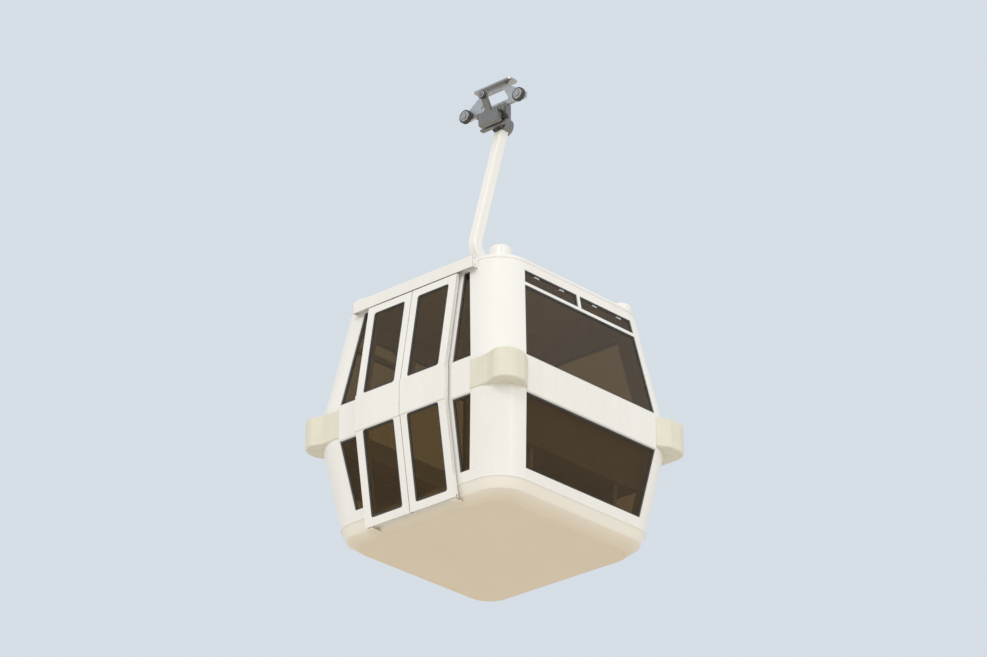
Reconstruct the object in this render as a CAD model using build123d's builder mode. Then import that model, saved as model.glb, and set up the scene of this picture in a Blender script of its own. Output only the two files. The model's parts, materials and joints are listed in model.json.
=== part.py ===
"""Cable car cabin with its hanger arm and rope grip, in millimetres.

The origin is on the rope's axis, in the middle of the grip's jaws. +X runs along the rope, +Z is up,
and the sliding doors are on the -Y side.
"""

import os

from build123d import *

os.makedirs("parts", exist_ok=True)

# Heights of the cabin's zones, stacked up from the underside of the floor pan.
PAN_DISH = 70.0
PAN_SIDE_HEIGHT = 90.0
SILL_HEIGHT = 85.0
LOWER_PANE_HEIGHT = 592.0
BELT_HEIGHT = 320.0
UPPER_PANE_HEIGHT = 823.0
HEADER_HEIGHT = 85.0
ROOF_EDGE_HEIGHT = 35.0
ROOF_CROWN_HEIGHT = 60.0
ROPE_ABOVE_ROOF = 1735.0

# Door opening, and the widths of what stands beside it and beside the end bays at the belt.
DOORWAY_HALF = 430.0
JAMB_WIDTH = 85.0
LIGHT_WIDTH = 196.0
END_POST_WIDTH = 270.0

# Walls, measured at the belt, where the cabin is widest.
BELT_HALF_LENGTH = 1055.0
BELT_HALF_WIDTH = 1045.0
WALL_LEAN = 0.16
CORNER_RADIUS = 280.0
WALL_THICKNESS = 45.0
BELT_PROUD = 10.0
BELT_SLOPE = 8.0
GLASS_INSET = 14.0
GLASS_THICKNESS = 8.0
VENT_HEIGHT = 117.0
VENT_BAR_HEIGHT = 28.0
VENT_DIVIDER_WIDTH = 34.0

# Floor and roof.
PAN_BASE_INSET_X = 147.0
PAN_BASE_INSET_Y = 122.0
PAN_BEND_INSET = 42.0
PAN_RADIUS = 190.0
DECK_THICKNESS = 25.0
DECK_CLEARANCE = 4.0
ROOF_EDGE_INSET = 20.0
ROOF_CROWN_INSET = 345.0
ROOF_CROWN_RADIUS = 140.0
ROOF_PANEL = 26.0
CAP_RADIUS = 92.0
CAP_RISE = 105.0
CAP_INSET = 165.0
CAP_ROUNDING = 40.0

# Corner bumpers.
BUMPER_LIFT = 30.0
BUMPER_HEIGHT = 256.0
BUMPER_PROUD = 78.0
BUMPER_DOOR_PROUD = 45.0
BUMPER_TIP_PROUD = 16.0
BUMPER_TAPER = 110.0
BUMPER_RADIUS = 140.0
BUMPER_ROUNDING = 16.0
BUMPER_LEAF_GAP = 8.0

# The two sliding leaves, which hang outside the wall.
MEETING_GAP = 6.0
LEAF_OVERLAP = 55.0
LEAF_DROP = 110.0
LEAF_TOP_GAP = 5.0
LEAF_CLEARANCE = 6.0
LEAF_THICKNESS = 34.0
LEAF_INNER_STILE = 68.0
LEAF_OUTER_STILE = 76.0
LEAF_BOTTOM_RAIL = 66.0
LEAF_TOP_RAIL = 69.0
LEAF_GLASS_CORNER = 22.0
LEAF_GLASS_INSET = 8.0
LEAF_TRAVEL = 400.0

# Door track over the leaves, runners in it, and guides under the leaves.
TRACK_END = 37.0
TRACK_SKIN = 6.0
TRACK_GAP = 7.0
TRACK_ROOT = 20.0
LEDGE_RISE = 38.0
LEDGE_THICKNESS = 8.0
LEDGE_CLEARANCE = 5.5
RUNNER_RADIUS = 18.0
RUNNER_WIDTH = 14.0
RUNNER_HEADROOM = 24.0
RUNNER_INSET = 30.0
RUNNER_SPACING = 190.0
RUNNER_PLATE_WIDTH = 50.0
RUNNER_PLATE_THICKNESS = 6.0
RUNNER_AXLE_RADIUS = 6.0
RUNNER_AXLE_LENGTH = 2.0
GUIDE_LENGTH = 60.0
GUIDE_ROOT = 60.0
GUIDE_FIN = 6.0
GUIDE_PLATE = 8.0
GUIDE_GAP = 8.0
GUIDE_ENTRY = 14.0
GROOVE_WIDTH = 18.0
GROOVE_DEPTH = 24.0

# Benches along the two ends of the cabin.
SEAT_HEIGHT = 360.0
SEAT_THICKNESS = 40.0
SEAT_DEPTH = 420.0
SEAT_WALL_GAP = 57.0
SEAT_SIDE_GAP = 207.0
SEAT_RADIUS = 40.0
BACK_THICKNESS = 32.0
BACK_BEND = 98.0
BACK_UPRIGHT = 55.0
LEG_THICKNESS = 40.0
LEG_SPACING = 1000.0
LEG_TOP_SETBACK = 80.0
LEG_TOP_DEPTH = 300.0
LEG_FOOT_SETBACK = 220.0
LEG_FOOT_DEPTH = 140.0

# Suspension on the roof and the hanger arm.
DAMPER_RADIUS = 48.0
DAMPER_HEIGHT = 45.0
DAMPER_X = 330.0
DAMPER_Y = 240.0
FRAME_HEIGHT = 60.0
FRAME_RAIL_WIDTH = 80.0
FRAME_RAIL_HALF = 400.0
FRAME_BEAM_WIDTH = 250.0
FRAME_ROUNDING = 12.0
FOOT_SIZE = 230.0
FOOT_THICKNESS = 20.0
FOOT_RADIUS = 18.0
ARM_WIDTH = 96.0
ARM_DEPTH = 84.0
ARM_ROUNDING = 18.0
ARM_RISE = 110.0
ARM_CRANK_OUT = 235.0
ARM_CRANK_RISE = 240.0
ARM_BEND_RADIUS = 130.0
HUB_RADIUS = 78.0
HUB_LENGTH = 100.0

# Grip that holds the rope.
ROPE_RADIUS = 26.0
JAW_HALF_LENGTH = 150.0
JAW_WALL = 28.0
JAW_FLOOR = 18.0
JAW_LIP = 8.0
JAW_TOP = 120.0
JAW_CHAMFER = 14.0
SHAFT_NECK = 16.0
SHAFT_RADIUS = 32.0
SHAFT_COLLAR = 12.0
SHAFT_COLLAR_RADIUS = 52.0
ROLLER_RADIUS = 60.0
ROLLER_WIDTH = 42.0
ROLLER_X = 300.0
ROLLER_RISE = 25.0
ROLLER_ROUNDING = 8.0
AXLE_RADIUS = 14.0
AXLE_SPACER = 7.7
AXLE_HEAD_RADIUS = 23.0
AXLE_HEAD = 8.0
ARCH_SETBACK = 22.0
ARCH_THICKNESS = 26.0
ARCH_END = 45.0
ARCH_FOOT_HEIGHT = 52.0
ARCH_HEIGHT = 210.0
ARCH_TOP_HALF = 120.0
ARCH_BAR = 45.0
ARCH_LEG = 180.0
ARCH_HAUNCH = 22.0
ARCH_ROUNDING = 14.0
PLATE_LENGTH = 420.0
PLATE_WIDTH = 110.0
PLATE_THICKNESS = 14.0
PLATE_RADIUS = 30.0
SPRING_RADIUS = 30.0
SPRING_LENGTH = 70.0
SPRING_X = 70.0
SPRING_GAP = 2.0
SPRING_ROUNDING = 8.0

# Moving jaw, its pin and its lever.
PIN_OUT = 46.0
PIN_RISE = 70.0
PIN_RADIUS = 13.0
PIN_END = 6.0
EAR_INNER = 116.0
EAR_THICKNESS = 22.0
EAR_RADIUS = 24.0
MOVING_JAW_GAP = 6.0
MOVING_JAW_THICKNESS = 40.0
MOVING_JAW_FLOOR = 10.0
LEVER_HALF_WIDTH = 28.0
LEVER_THICKNESS = 26.0
LEVER_OUT = 74.0
LEVER_RISE = 130.0
LEVER_TOP = 24.0
LEVER_AXLE_RADIUS = 10.0
LEVER_HEAD_RADIUS = 16.0
LEVER_HEAD = 5.0
LEVER_ROLLER_RADIUS = 36.0
LEVER_ROLLER_WIDTH = 26.0
LEVER_ROLLER_GAP = 8.0
LEVER_ROLLER_ROUNDING = 5.0

# Clearances of pieces that roll or turn on each other, and two sizes for cutting right through.
RUNNING_GAP = 0.3
BORE_GAP = 0.08
CUT = 1.0
FAR = 20000.0

# Heights and widths that follow.
wall_bottom = PAN_DISH + PAN_SIDE_HEIGHT
pane_bottom = wall_bottom + SILL_HEIGHT
belt_low = pane_bottom + LOWER_PANE_HEIGHT
belt_high = belt_low + BELT_HEIGHT
pane_top = belt_high + UPPER_PANE_HEIGHT
vent_low = pane_top - VENT_HEIGHT
wall_top = pane_top + HEADER_HEIGHT
roof_edge = wall_top + ROOF_EDGE_HEIGHT
roof_top = roof_edge + ROOF_CROWN_HEIGHT
rope_height = roof_top + ROPE_ABOVE_ROOF
jamb_outer = DOORWAY_HALF + JAMB_WIDTH
side_bay_half = jamb_outer + LIGHT_WIDTH
end_bay_half = BELT_HALF_WIDTH - END_POST_WIDTH
leaf_start = MEETING_GAP / 2
leaf_end = DOORWAY_HALF + LEAF_OVERLAP
leaf_reach = leaf_end + LEAF_TRAVEL + BUMPER_LEAF_GAP


def level(height):
    """Height above the pan's underside, as a Z position below the rope."""
    return height - rope_height


def lean(height):
    """How far the walls have leaned in from the belt at this height."""
    return WALL_LEAN * max(belt_low - height, height - belt_high, 0.0)


def wall_x(height):
    """How far out the end wall's outer face stands at this height."""
    return BELT_HALF_LENGTH - lean(height)


def wall_y(height):
    """How far out the side wall's outer face stands at this height."""
    return BELT_HALF_WIDTH - lean(height)


def plan_sketch(height, half_length, half_width, radius):
    """Rounded plan outline at one height."""
    with BuildSketch(Plane.XY.offset(level(height))) as plan:
        RectangleRounded(2 * half_length, 2 * half_width, radius)
    return plan.sketch


def wall_sketch(height, inset):
    """Plan outline of the walls at one height, moved in by the inset."""
    return plan_sketch(height, wall_x(height) - inset, wall_y(height) - inset, CORNER_RADIUS - inset)


# Walls in straight zones, as (height, how proud the wall stands there).
PLAIN_WALL = [(wall_bottom, 0.0), (belt_low, 0.0), (belt_high, 0.0), (wall_top, 0.0)]
BELTED_WALL = [
    (wall_bottom, 0.0),
    (belt_low, 0.0),
    (belt_low + BELT_SLOPE, BELT_PROUD),
    (belt_high - BELT_SLOPE, BELT_PROUD),
    (belt_high, 0.0),
    (wall_top, 0.0),
]


def wall_block(stations, inset):
    """Solid inside the walls' outline."""
    with BuildPart() as block:
        for (low, low_proud), (high, high_proud) in zip(stations, stations[1:]):
            sections = [wall_sketch(low, inset - low_proud), wall_sketch(high, inset - high_proud)]
            loft(sections=sections, ruled=True)
    return block.part


def wall_shell(stations, inset, thickness):
    """The walls as one bent shell, its outer face moved in by the inset."""
    with BuildPart() as shell:
        add(wall_block(stations, inset))
        add(wall_block(PLAIN_WALL, inset + thickness), mode=Mode.SUBTRACT)
    return shell.part


def bay_points(half_at_belt, low, high):
    """Corners of a bay whose two sides lean with the walls, as (across, up) pairs."""
    heights = [low] + [h for h in (belt_low, belt_high) if low < h < high] + [high]
    right = [(half_at_belt - lean(h), level(h)) for h in heights]
    left = [(-across, up) for across, up in reversed(right)]
    return right + left


def end_bay(side, low, high):
    """Prism through one end wall: side is 1 for the front end and -1 for the rear end."""
    with BuildPart() as prism:
        with BuildSketch(Plane.YZ):
            Polygon(*bay_points(end_bay_half, low, high), align=None)
        extrude(amount=side * 2 * BELT_HALF_LENGTH)
    return prism.part


def side_bay(side, low, high):
    """Prism through one side wall: side is 1 for the back and -1 for the door side."""
    with BuildPart() as prism:
        with BuildSketch(Plane.XZ):
            Polygon(*bay_points(side_bay_half, low, high), align=None)
        extrude(amount=-side * 2 * BELT_HALF_WIDTH)
    return prism.part


def light_bay(low, high):
    """Prisms through the door side between the jambs and the corner posts."""
    with BuildPart() as prism:
        add(side_bay(-1, low, high))
        Box(2 * jamb_outer, FAR, FAR, mode=Mode.SUBTRACT)
    return prism.part


def cylinder_y(radius, x, start, end, z):
    """Cylinder along Y between two Y positions."""
    with BuildPart() as cylinder:
        with BuildSketch(Plane.XZ.offset(-start)):
            with Locations((x, z)):
                Circle(radius)
        extrude(amount=start - end)
    return cylinder.part


def rounded_polygon(points, radius):
    """Polygon with its corners rounded."""
    with BuildSketch() as shape:
        Polygon(*points, align=None)
        fillet(shape.vertices(), radius)
    return shape.sketch


def finish(builder, label):
    """Names a finished piece and writes its file."""
    builder.part.label = label
    export_step(builder.part, f"parts/{label}.step")


ENDS = [("front", 1), ("rear", -1)]
walls = wall_shell(PLAIN_WALL, 0.0, WALL_THICKNESS)
belted_walls = wall_shell(BELTED_WALL, 0.0, WALL_THICKNESS)
glazing = wall_shell(PLAIN_WALL, GLASS_INSET, GLASS_THICKNESS)

# Corner posts: what is left of the walls beside the four bays.
with BuildPart() as corner_posts:
    add(walls)
    for side in (1, -1):
        add(end_bay(side, wall_bottom - CUT, wall_top + CUT), mode=Mode.SUBTRACT)
        add(side_bay(side, wall_bottom - CUT, wall_top + CUT), mode=Mode.SUBTRACT)
finish(corner_posts, "corner_posts")


def vent_divider(side):
    """Short post that halves the vent strip at the top of one end."""
    with BuildPart() as divider:
        add(walls.intersect(end_bay(side, vent_low, pane_top)))
        Box(FAR, VENT_DIVIDER_WIDTH, FAR, mode=Mode.INTERSECT)
    return divider.part


# The two ends: sill, belt, vent bar and header, with the panes between them.
END_RAILS = [
    (walls, wall_bottom, pane_bottom),
    (belted_walls, belt_low, belt_high),
    (walls, vent_low - VENT_BAR_HEIGHT, vent_low),
    (walls, pane_top, wall_top),
]
END_PANES = [
    (pane_bottom, belt_low),
    (belt_high, vent_low - VENT_BAR_HEIGHT),
    (vent_low, pane_top),
]
for end, side in ENDS:
    with BuildPart() as end_rails:
        for source, low, high in END_RAILS:
            add(source.intersect(end_bay(side, low, high)))
        add(vent_divider(side))
    finish(end_rails, f"{end}_end_rails")

    with BuildPart() as end_windows:
        for low, high in END_PANES:
            add(glazing.intersect(end_bay(side, low, high)))
        add(vent_divider(side), mode=Mode.SUBTRACT)
    finish(end_windows, f"{end}_windows")

# The back, which has no door.
BACK_RAILS = [
    (walls, wall_bottom, pane_bottom),
    (belted_walls, belt_low, belt_high),
    (walls, pane_top, wall_top),
]
TALL_PANES = [(pane_bottom, belt_low), (belt_high, pane_top)]
with BuildPart() as back_rails:
    for source, low, high in BACK_RAILS:
        add(source.intersect(side_bay(1, low, high)))
finish(back_rails, "back_rails")

with BuildPart() as back_windows:
    for low, high in TALL_PANES:
        add(glazing.intersect(side_bay(1, low, high)))
finish(back_windows, "back_windows")

# Door side: header over the doorway, and sills, belts and narrow panes beside the jambs.
with BuildPart() as door_side_rails:
    add(walls.intersect(side_bay(-1, pane_top, wall_top)))
    add(walls.intersect(light_bay(wall_bottom, pane_bottom)))
    add(belted_walls.intersect(light_bay(belt_low, belt_high)))
finish(door_side_rails, "door_side_rails")

with BuildPart() as side_lights:
    for low, high in TALL_PANES:
        add(glazing.intersect(light_bay(low, high)))
finish(side_lights, "side_lights")

with BuildPart() as door_jambs:
    add(walls.intersect(side_bay(-1, wall_bottom, pane_top)))
    Box(2 * jamb_outer, FAR, FAR, mode=Mode.INTERSECT)
    Box(2 * DOORWAY_HALF, FAR, FAR, mode=Mode.SUBTRACT)
finish(door_jambs, "door_jambs")


def bumper_outline(side_x, side_y):
    """Plan of one bumper: thin where it meets the bays, thick round the corner, low behind an open leaf."""
    outer_x = BELT_HALF_LENGTH + BUMPER_PROUD
    if side_y < 0:
        outer_y = BELT_HALF_WIDTH + BUMPER_DOOR_PROUD
        flank = [(leaf_reach, BELT_HALF_WIDTH + BELT_PROUD), (side_bay_half, BELT_HALF_WIDTH + BELT_PROUD)]
    else:
        outer_y = BELT_HALF_WIDTH + BUMPER_PROUD
        flank = [
            (side_bay_half + BUMPER_TAPER, outer_y),
            (side_bay_half, BELT_HALF_WIDTH + BUMPER_TIP_PROUD),
        ]
    points = [
        (outer_x - BUMPER_RADIUS, outer_y),
        *flank,
        (side_bay_half, end_bay_half),
        (BELT_HALF_LENGTH + BUMPER_TIP_PROUD, end_bay_half),
        (outer_x, end_bay_half + BUMPER_TAPER),
        (outer_x, outer_y - BUMPER_RADIUS),
    ]
    return [(side_x * x, side_y * y) for x, y in points]


with BuildPart() as corner_bumpers:
    for side_x, side_y in [(1, -1), (1, 1), (-1, -1), (-1, 1)]:
        outline = bumper_outline(side_x, side_y)
        with BuildSketch(Plane.XY.offset(level(belt_low + BUMPER_LIFT))):
            with BuildLine():
                Polyline(*outline)
                RadiusArc(outline[-1], outline[0], -side_x * side_y * BUMPER_RADIUS)
            make_face()
        extrude(amount=BUMPER_HEIGHT)
    fillet(corner_bumpers.faces().filter_by(Axis.Z).edges(), BUMPER_ROUNDING)
    add(wall_block(PLAIN_WALL, 0.0), mode=Mode.SUBTRACT)
finish(corner_bumpers, "corner_bumpers")

# Floor pan: a closed block with a flat underside, as (height, half length, half width, radius).
pan_x = wall_x(wall_bottom)
pan_y = wall_y(wall_bottom)
PAN_SECTIONS = [
    (0.0, pan_x - PAN_BASE_INSET_X, pan_y - PAN_BASE_INSET_Y, PAN_RADIUS),
    (PAN_DISH, pan_x - PAN_BEND_INSET, pan_y - PAN_BEND_INSET, CORNER_RADIUS - PAN_BEND_INSET),
    (wall_bottom, pan_x, pan_y, CORNER_RADIUS),
]
with BuildPart() as floor_pan:
    for lower, upper in zip(PAN_SECTIONS, PAN_SECTIONS[1:]):
        loft(sections=[plan_sketch(*lower), plan_sketch(*upper)], ruled=True)
finish(floor_pan, "floor_pan")

# Deck inside the walls, and the threshold plate between the jambs.
deck_inset = WALL_THICKNESS + DECK_CLEARANCE
with BuildPart() as floor_deck:
    add(wall_sketch(wall_bottom, deck_inset))
    extrude(amount=DECK_THICKNESS)
finish(floor_deck, "floor_deck")

with BuildPart() as door_sill:
    with Locations((0, -pan_y, level(wall_bottom))):
        Box(
            2 * DOORWAY_HALF,
            deck_inset,
            DECK_THICKNESS,
            align=(Align.CENTER, Align.MIN, Align.MIN),
        )
finish(door_sill, "door_sill")

# Roof: a low edge and a shallow crown on the walls' top edge, hollow underneath.
roof_x = wall_x(wall_top)
roof_y = wall_y(wall_top)


def roof_block(inset, drop):
    """Form of the roof, moved in and down."""
    edge_inset = inset + ROOF_EDGE_INSET
    base = wall_sketch(wall_top, inset)
    edge = plan_sketch(
        roof_edge - drop,
        roof_x - edge_inset,
        roof_y - edge_inset,
        CORNER_RADIUS - edge_inset,
    )
    crown = plan_sketch(
        roof_top - drop,
        roof_x - ROOF_CROWN_INSET,
        roof_y - ROOF_CROWN_INSET,
        ROOF_CROWN_RADIUS,
    )
    with BuildPart() as block:
        loft(sections=[base, edge], ruled=True)
        loft(sections=[edge, crown], ruled=True)
    return block.part


with BuildPart() as roof_panel:
    add(roof_block(0.0, 0.0))
    add(roof_block(WALL_THICKNESS, ROOF_PANEL), mode=Mode.SUBTRACT)
finish(roof_panel, "roof_panel")

# Rounded caps on the roof's four corners.
with BuildPart() as roof_caps:
    with BuildSketch(Plane.XY.offset(level(wall_top))):
        with GridLocations(2 * (roof_x - CAP_INSET), 2 * (roof_y - CAP_INSET), 2, 2):
            Circle(CAP_RADIUS)
    extrude(amount=ROOF_EDGE_HEIGHT + CAP_RISE)
    fillet(roof_caps.edges().group_by(Axis.Z)[-1], CAP_ROUNDING)
    add(roof_block(0.0, 0.0), mode=Mode.SUBTRACT)
finish(roof_caps, "roof_caps")

# A bench along each end: a seat, a backrest up to the belt, and two legs.
deck_top = wall_bottom + DECK_THICKNESS
seat_top = deck_top + SEAT_HEIGHT
seat_bottom = seat_top - SEAT_THICKNESS
seat_rear = wall_x(seat_bottom) - WALL_THICKNESS - SEAT_WALL_GAP
seat_front = seat_rear - SEAT_DEPTH
seat_half_width = wall_y(seat_bottom) - WALL_THICKNESS - SEAT_SIDE_GAP
belt_inner = BELT_HALF_LENGTH - WALL_THICKNESS
back_bend = belt_low + BACK_BEND
back_side = [
    (seat_rear - BACK_THICKNESS, seat_top),
    (seat_rear, seat_top),
    (belt_inner, back_bend),
    (belt_inner, back_bend + BACK_UPRIGHT),
    (belt_inner - BACK_THICKNESS, back_bend + BACK_UPRIGHT),
    (belt_inner - BACK_THICKNESS, back_bend),
]
leg_side = [
    (seat_front + LEG_TOP_SETBACK, seat_bottom),
    (seat_front + LEG_TOP_SETBACK + LEG_TOP_DEPTH, seat_bottom),
    (seat_front + LEG_FOOT_SETBACK + LEG_FOOT_DEPTH, deck_top),
    (seat_front + LEG_FOOT_SETBACK, deck_top),
]
for end, side in ENDS:
    with BuildPart() as bench_seat:
        with BuildSketch(Plane.XY.offset(level(seat_bottom))):
            with Locations((side * (seat_front + seat_rear) / 2, 0)):
                RectangleRounded(SEAT_DEPTH, 2 * seat_half_width, SEAT_RADIUS)
        extrude(amount=SEAT_THICKNESS)
    finish(bench_seat, f"{end}_bench_seat")

    with BuildPart() as bench_back:
        with BuildSketch(Plane.XZ):
            Polygon(*[(side * x, level(h)) for x, h in back_side], align=None)
        extrude(amount=seat_half_width, both=True)
    finish(bench_back, f"{end}_bench_back")

with BuildPart() as bench_legs:
    for _, side in ENDS:
        for leg_y in (-LEG_SPACING / 2, LEG_SPACING / 2):
            with BuildSketch(Plane.XZ.offset(-leg_y)):
                Polygon(*[(side * x, level(h)) for x, h in leg_side], align=None)
            extrude(amount=LEG_THICKNESS / 2, both=True)
finish(bench_legs, "bench_legs")

# Sizes of the leaves, counted outwards from the wall's face and from the middle of the doorway.
leaf_bottom = wall_bottom - LEAF_DROP
leaf_top = pane_top - LEAF_TOP_GAP
leaf_inner = BELT_PROUD + LEAF_CLEARANCE
leaf_outer = leaf_inner + LEAF_THICKNESS
leaf_middle = leaf_inner + LEAF_THICKNESS / 2
glass_outer = leaf_outer - LEAF_GLASS_INSET
glass_inner = glass_outer - GLASS_THICKNESS
glass_start = leaf_start + LEAF_INNER_STILE
glass_end = leaf_end - LEAF_OUTER_STILE
leaf_panes = [
    (leaf_bottom + LEAF_BOTTOM_RAIL, belt_low),
    (belt_high, leaf_top - LEAF_TOP_RAIL),
]
groove_y = wall_y(leaf_bottom) + leaf_middle
ledge_top = leaf_top + LEDGE_RISE
runner_height = ledge_top + RUNNING_GAP + RUNNER_RADIUS
plate_y = wall_y(leaf_top) + leaf_middle
plate_face = -plate_y + RUNNER_PLATE_THICKNESS / 2
runner_face = plate_face + RUNNER_AXLE_LENGTH


def leaf_section(inner, outer, proud):
    """Section of a leaf between two offsets from the wall, as (y, z) pairs that follow its bend."""
    inside = [(h, inner) for h in (leaf_bottom, belt_low, belt_high, leaf_top)]
    outside = [
        (leaf_top, outer),
        (belt_high, outer),
        (belt_high - BELT_SLOPE, outer + proud),
        (belt_low + BELT_SLOPE, outer + proud),
        (belt_low, outer),
        (leaf_bottom, outer),
    ]
    return [(-(wall_y(h) + offset), level(h)) for h, offset in inside + outside]


def leaf_holes(side):
    """Outlines of a leaf's two panes, side by side with the doorway's middle."""
    with BuildSketch() as holes:
        for low, high in leaf_panes:
            with Locations((side * (glass_start + glass_end) / 2, level((low + high) / 2))):
                RectangleRounded(glass_end - glass_start, high - low, LEAF_GLASS_CORNER)
    return holes.sketch


# Sliding leaves, each with its glass and the runners it hangs from.
for leaf, side in [("left", -1), ("right", 1)]:
    with BuildPart() as door_frame:
        with BuildSketch(Plane.YZ.offset(side * leaf_start)):
            Polygon(*leaf_section(leaf_inner, leaf_outer, BELT_PROUD), align=None)
        extrude(amount=side * (leaf_end - leaf_start))
        with BuildSketch(Plane.XZ):
            add(leaf_holes(side))
        extrude(amount=2 * BELT_HALF_WIDTH, mode=Mode.SUBTRACT)
        with Locations((0, -groove_y, level(leaf_bottom))):
            Box(
                FAR,
                GROOVE_WIDTH,
                GROOVE_DEPTH,
                align=(Align.CENTER, Align.CENTER, Align.MIN),
                mode=Mode.SUBTRACT,
            )
    finish(door_frame, f"{leaf}_door_frame")

    with BuildPart() as door_glass:
        with BuildSketch(Plane.YZ.offset(side * glass_start)):
            Polygon(*leaf_section(glass_inner, glass_outer, 0.0), align=None)
        extrude(amount=side * (glass_end - glass_start))
        with BuildSketch(Plane.XZ):
            add(leaf_holes(side))
        extrude(amount=2 * BELT_HALF_WIDTH, mode=Mode.INTERSECT)
    finish(door_glass, f"{leaf}_door_glass")

    with BuildPart() as door_runners:
        for position in (leaf_start + RUNNER_INSET, leaf_start + RUNNER_INSET + RUNNER_SPACING):
            x = side * position
            with Locations((x, -plate_y, level(leaf_top))):
                Box(
                    RUNNER_PLATE_WIDTH,
                    RUNNER_PLATE_THICKNESS,
                    runner_height + RUNNER_RADIUS - leaf_top,
                    align=(Align.CENTER, Align.CENTER, Align.MIN),
                )
            z = level(runner_height)
            add(cylinder_y(RUNNER_AXLE_RADIUS, x, plate_face, runner_face, z))
            add(cylinder_y(RUNNER_RADIUS, x, runner_face, runner_face + RUNNER_WIDTH, z))
    finish(door_runners, f"{leaf}_door_runners")

# Track over the leaves: cover and skirt in one profile, with the ledge that the runners roll on.
track_top = runner_height + RUNNER_RADIUS + RUNNER_HEADROOM
track_half_length = leaf_start + RUNNER_INSET + RUNNER_SPACING + LEAF_TRAVEL + TRACK_END
skirt_y = wall_y(leaf_top) + leaf_outer
skirt_bottom = leaf_top + TRACK_GAP
ledge_y = plate_y - RUNNER_PLATE_THICKNESS / 2 - LEDGE_CLEARANCE
ledge_bottom = ledge_top - LEDGE_THICKNESS
track_section = [
    (roof_y - TRACK_ROOT, track_top + TRACK_SKIN),
    (skirt_y + TRACK_SKIN, track_top + TRACK_SKIN),
    (skirt_y + TRACK_SKIN, skirt_bottom),
    (skirt_y, skirt_bottom),
    (skirt_y, track_top),
    (wall_y(track_top) + TRACK_SKIN, track_top),
    (wall_y(ledge_top) + TRACK_SKIN, ledge_top),
    (ledge_y, ledge_top),
    (ledge_y, ledge_bottom),
    (wall_y(ledge_bottom) - TRACK_ROOT, ledge_bottom),
]
with BuildPart() as door_track:
    with BuildSketch(Plane.YZ):
        Polygon(*[(-y, level(h)) for y, h in track_section], align=None)
    extrude(amount=track_half_length, both=True)
    add(wall_block(PLAIN_WALL, 0.0), mode=Mode.SUBTRACT)
    add(roof_block(0.0, 0.0), mode=Mode.SUBTRACT)
finish(door_track, "door_track")

# Guides under the leaves: each stays in its leaf's groove over the whole travel.
guide_x = (leaf_start + leaf_end + LEAF_TRAVEL) / 2
guide_top = leaf_bottom - GUIDE_GAP
guide_root = pan_y - PAN_BASE_INSET_Y - GUIDE_ROOT
guide_section = [
    (groove_y + GUIDE_FIN / 2, leaf_bottom + GUIDE_ENTRY),
    (groove_y - GUIDE_FIN / 2, leaf_bottom + GUIDE_ENTRY),
    (groove_y - GUIDE_FIN / 2, guide_top),
    (guide_root, guide_top),
    (guide_root, guide_top - GUIDE_PLATE),
    (groove_y + GUIDE_FIN / 2, guide_top - GUIDE_PLATE),
]
with BuildPart() as door_guides:
    with BuildSketch(Plane.YZ):
        Polygon(*[(-y, level(h)) for y, h in guide_section], align=None)
    extrude(amount=guide_x + GUIDE_LENGTH / 2, both=True)
    Box(2 * guide_x - GUIDE_LENGTH, FAR, FAR, mode=Mode.SUBTRACT)
    add(floor_pan.part, mode=Mode.SUBTRACT)
finish(door_guides, "door_guides")

# Rubber dampers on the roof, and the frame they carry.
frame_bottom = roof_top + DAMPER_HEIGHT
frame_top = frame_bottom + FRAME_HEIGHT
with BuildPart() as roof_dampers:
    with BuildSketch(Plane.XY.offset(level(roof_top))):
        with GridLocations(2 * DAMPER_X, 2 * DAMPER_Y, 2, 2):
            Circle(DAMPER_RADIUS)
    extrude(amount=DAMPER_HEIGHT)
finish(roof_dampers, "roof_dampers")

with BuildPart() as suspension_frame:
    with BuildSketch(Plane.XY.offset(level(frame_bottom))):
        with GridLocations(0, 2 * DAMPER_Y, 1, 2):
            Rectangle(2 * FRAME_RAIL_HALF, FRAME_RAIL_WIDTH)
        Rectangle(FRAME_BEAM_WIDTH, 2 * DAMPER_Y)
    extrude(amount=FRAME_HEIGHT)
    fillet(suspension_frame.edges().filter_by(Axis.Z), FRAME_ROUNDING)
finish(suspension_frame, "suspension_frame")

# Hanger arm: it rises from its foot plate, bends out to the door side and slants back to the hub.
jaw_back = ROPE_RADIUS + JAW_WALL
hub_start = jaw_back + SHAFT_NECK
hub_end = hub_start + HUB_LENGTH
foot_top = level(frame_top) + FOOT_THICKNESS
arm_route = [
    (0, 0, foot_top),
    (0, 0, foot_top + ARM_RISE),
    (0, -ARM_CRANK_OUT, foot_top + ARM_RISE + ARM_CRANK_RISE),
    (0, (hub_start + hub_end) / 2, 0),
]
with BuildPart() as hanger_arm:
    with BuildLine():
        FilletPolyline(*arm_route, radius=ARM_BEND_RADIUS)
    with BuildSketch(Plane.XY.offset(foot_top)):
        RectangleRounded(ARM_DEPTH, ARM_WIDTH, ARM_ROUNDING)
    sweep()
    add(cylinder_y(HUB_RADIUS, 0.0, -HUB_RADIUS, 2 * hub_end, 0.0), mode=Mode.SUBTRACT)
    with BuildSketch(Plane.XY.offset(level(frame_top))):
        RectangleRounded(FOOT_SIZE, FOOT_SIZE, FOOT_RADIUS)
    extrude(amount=FOOT_THICKNESS)
finish(hanger_arm, "hanger_arm")

with BuildPart() as hanger_hub:
    add(cylinder_y(HUB_RADIUS, 0.0, hub_start, hub_end, 0.0))
    add(
        cylinder_y(SHAFT_RADIUS + BORE_GAP, 0.0, hub_start - CUT, hub_end + CUT, 0.0),
        mode=Mode.SUBTRACT,
    )
finish(hanger_hub, "hanger_hub")

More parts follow.
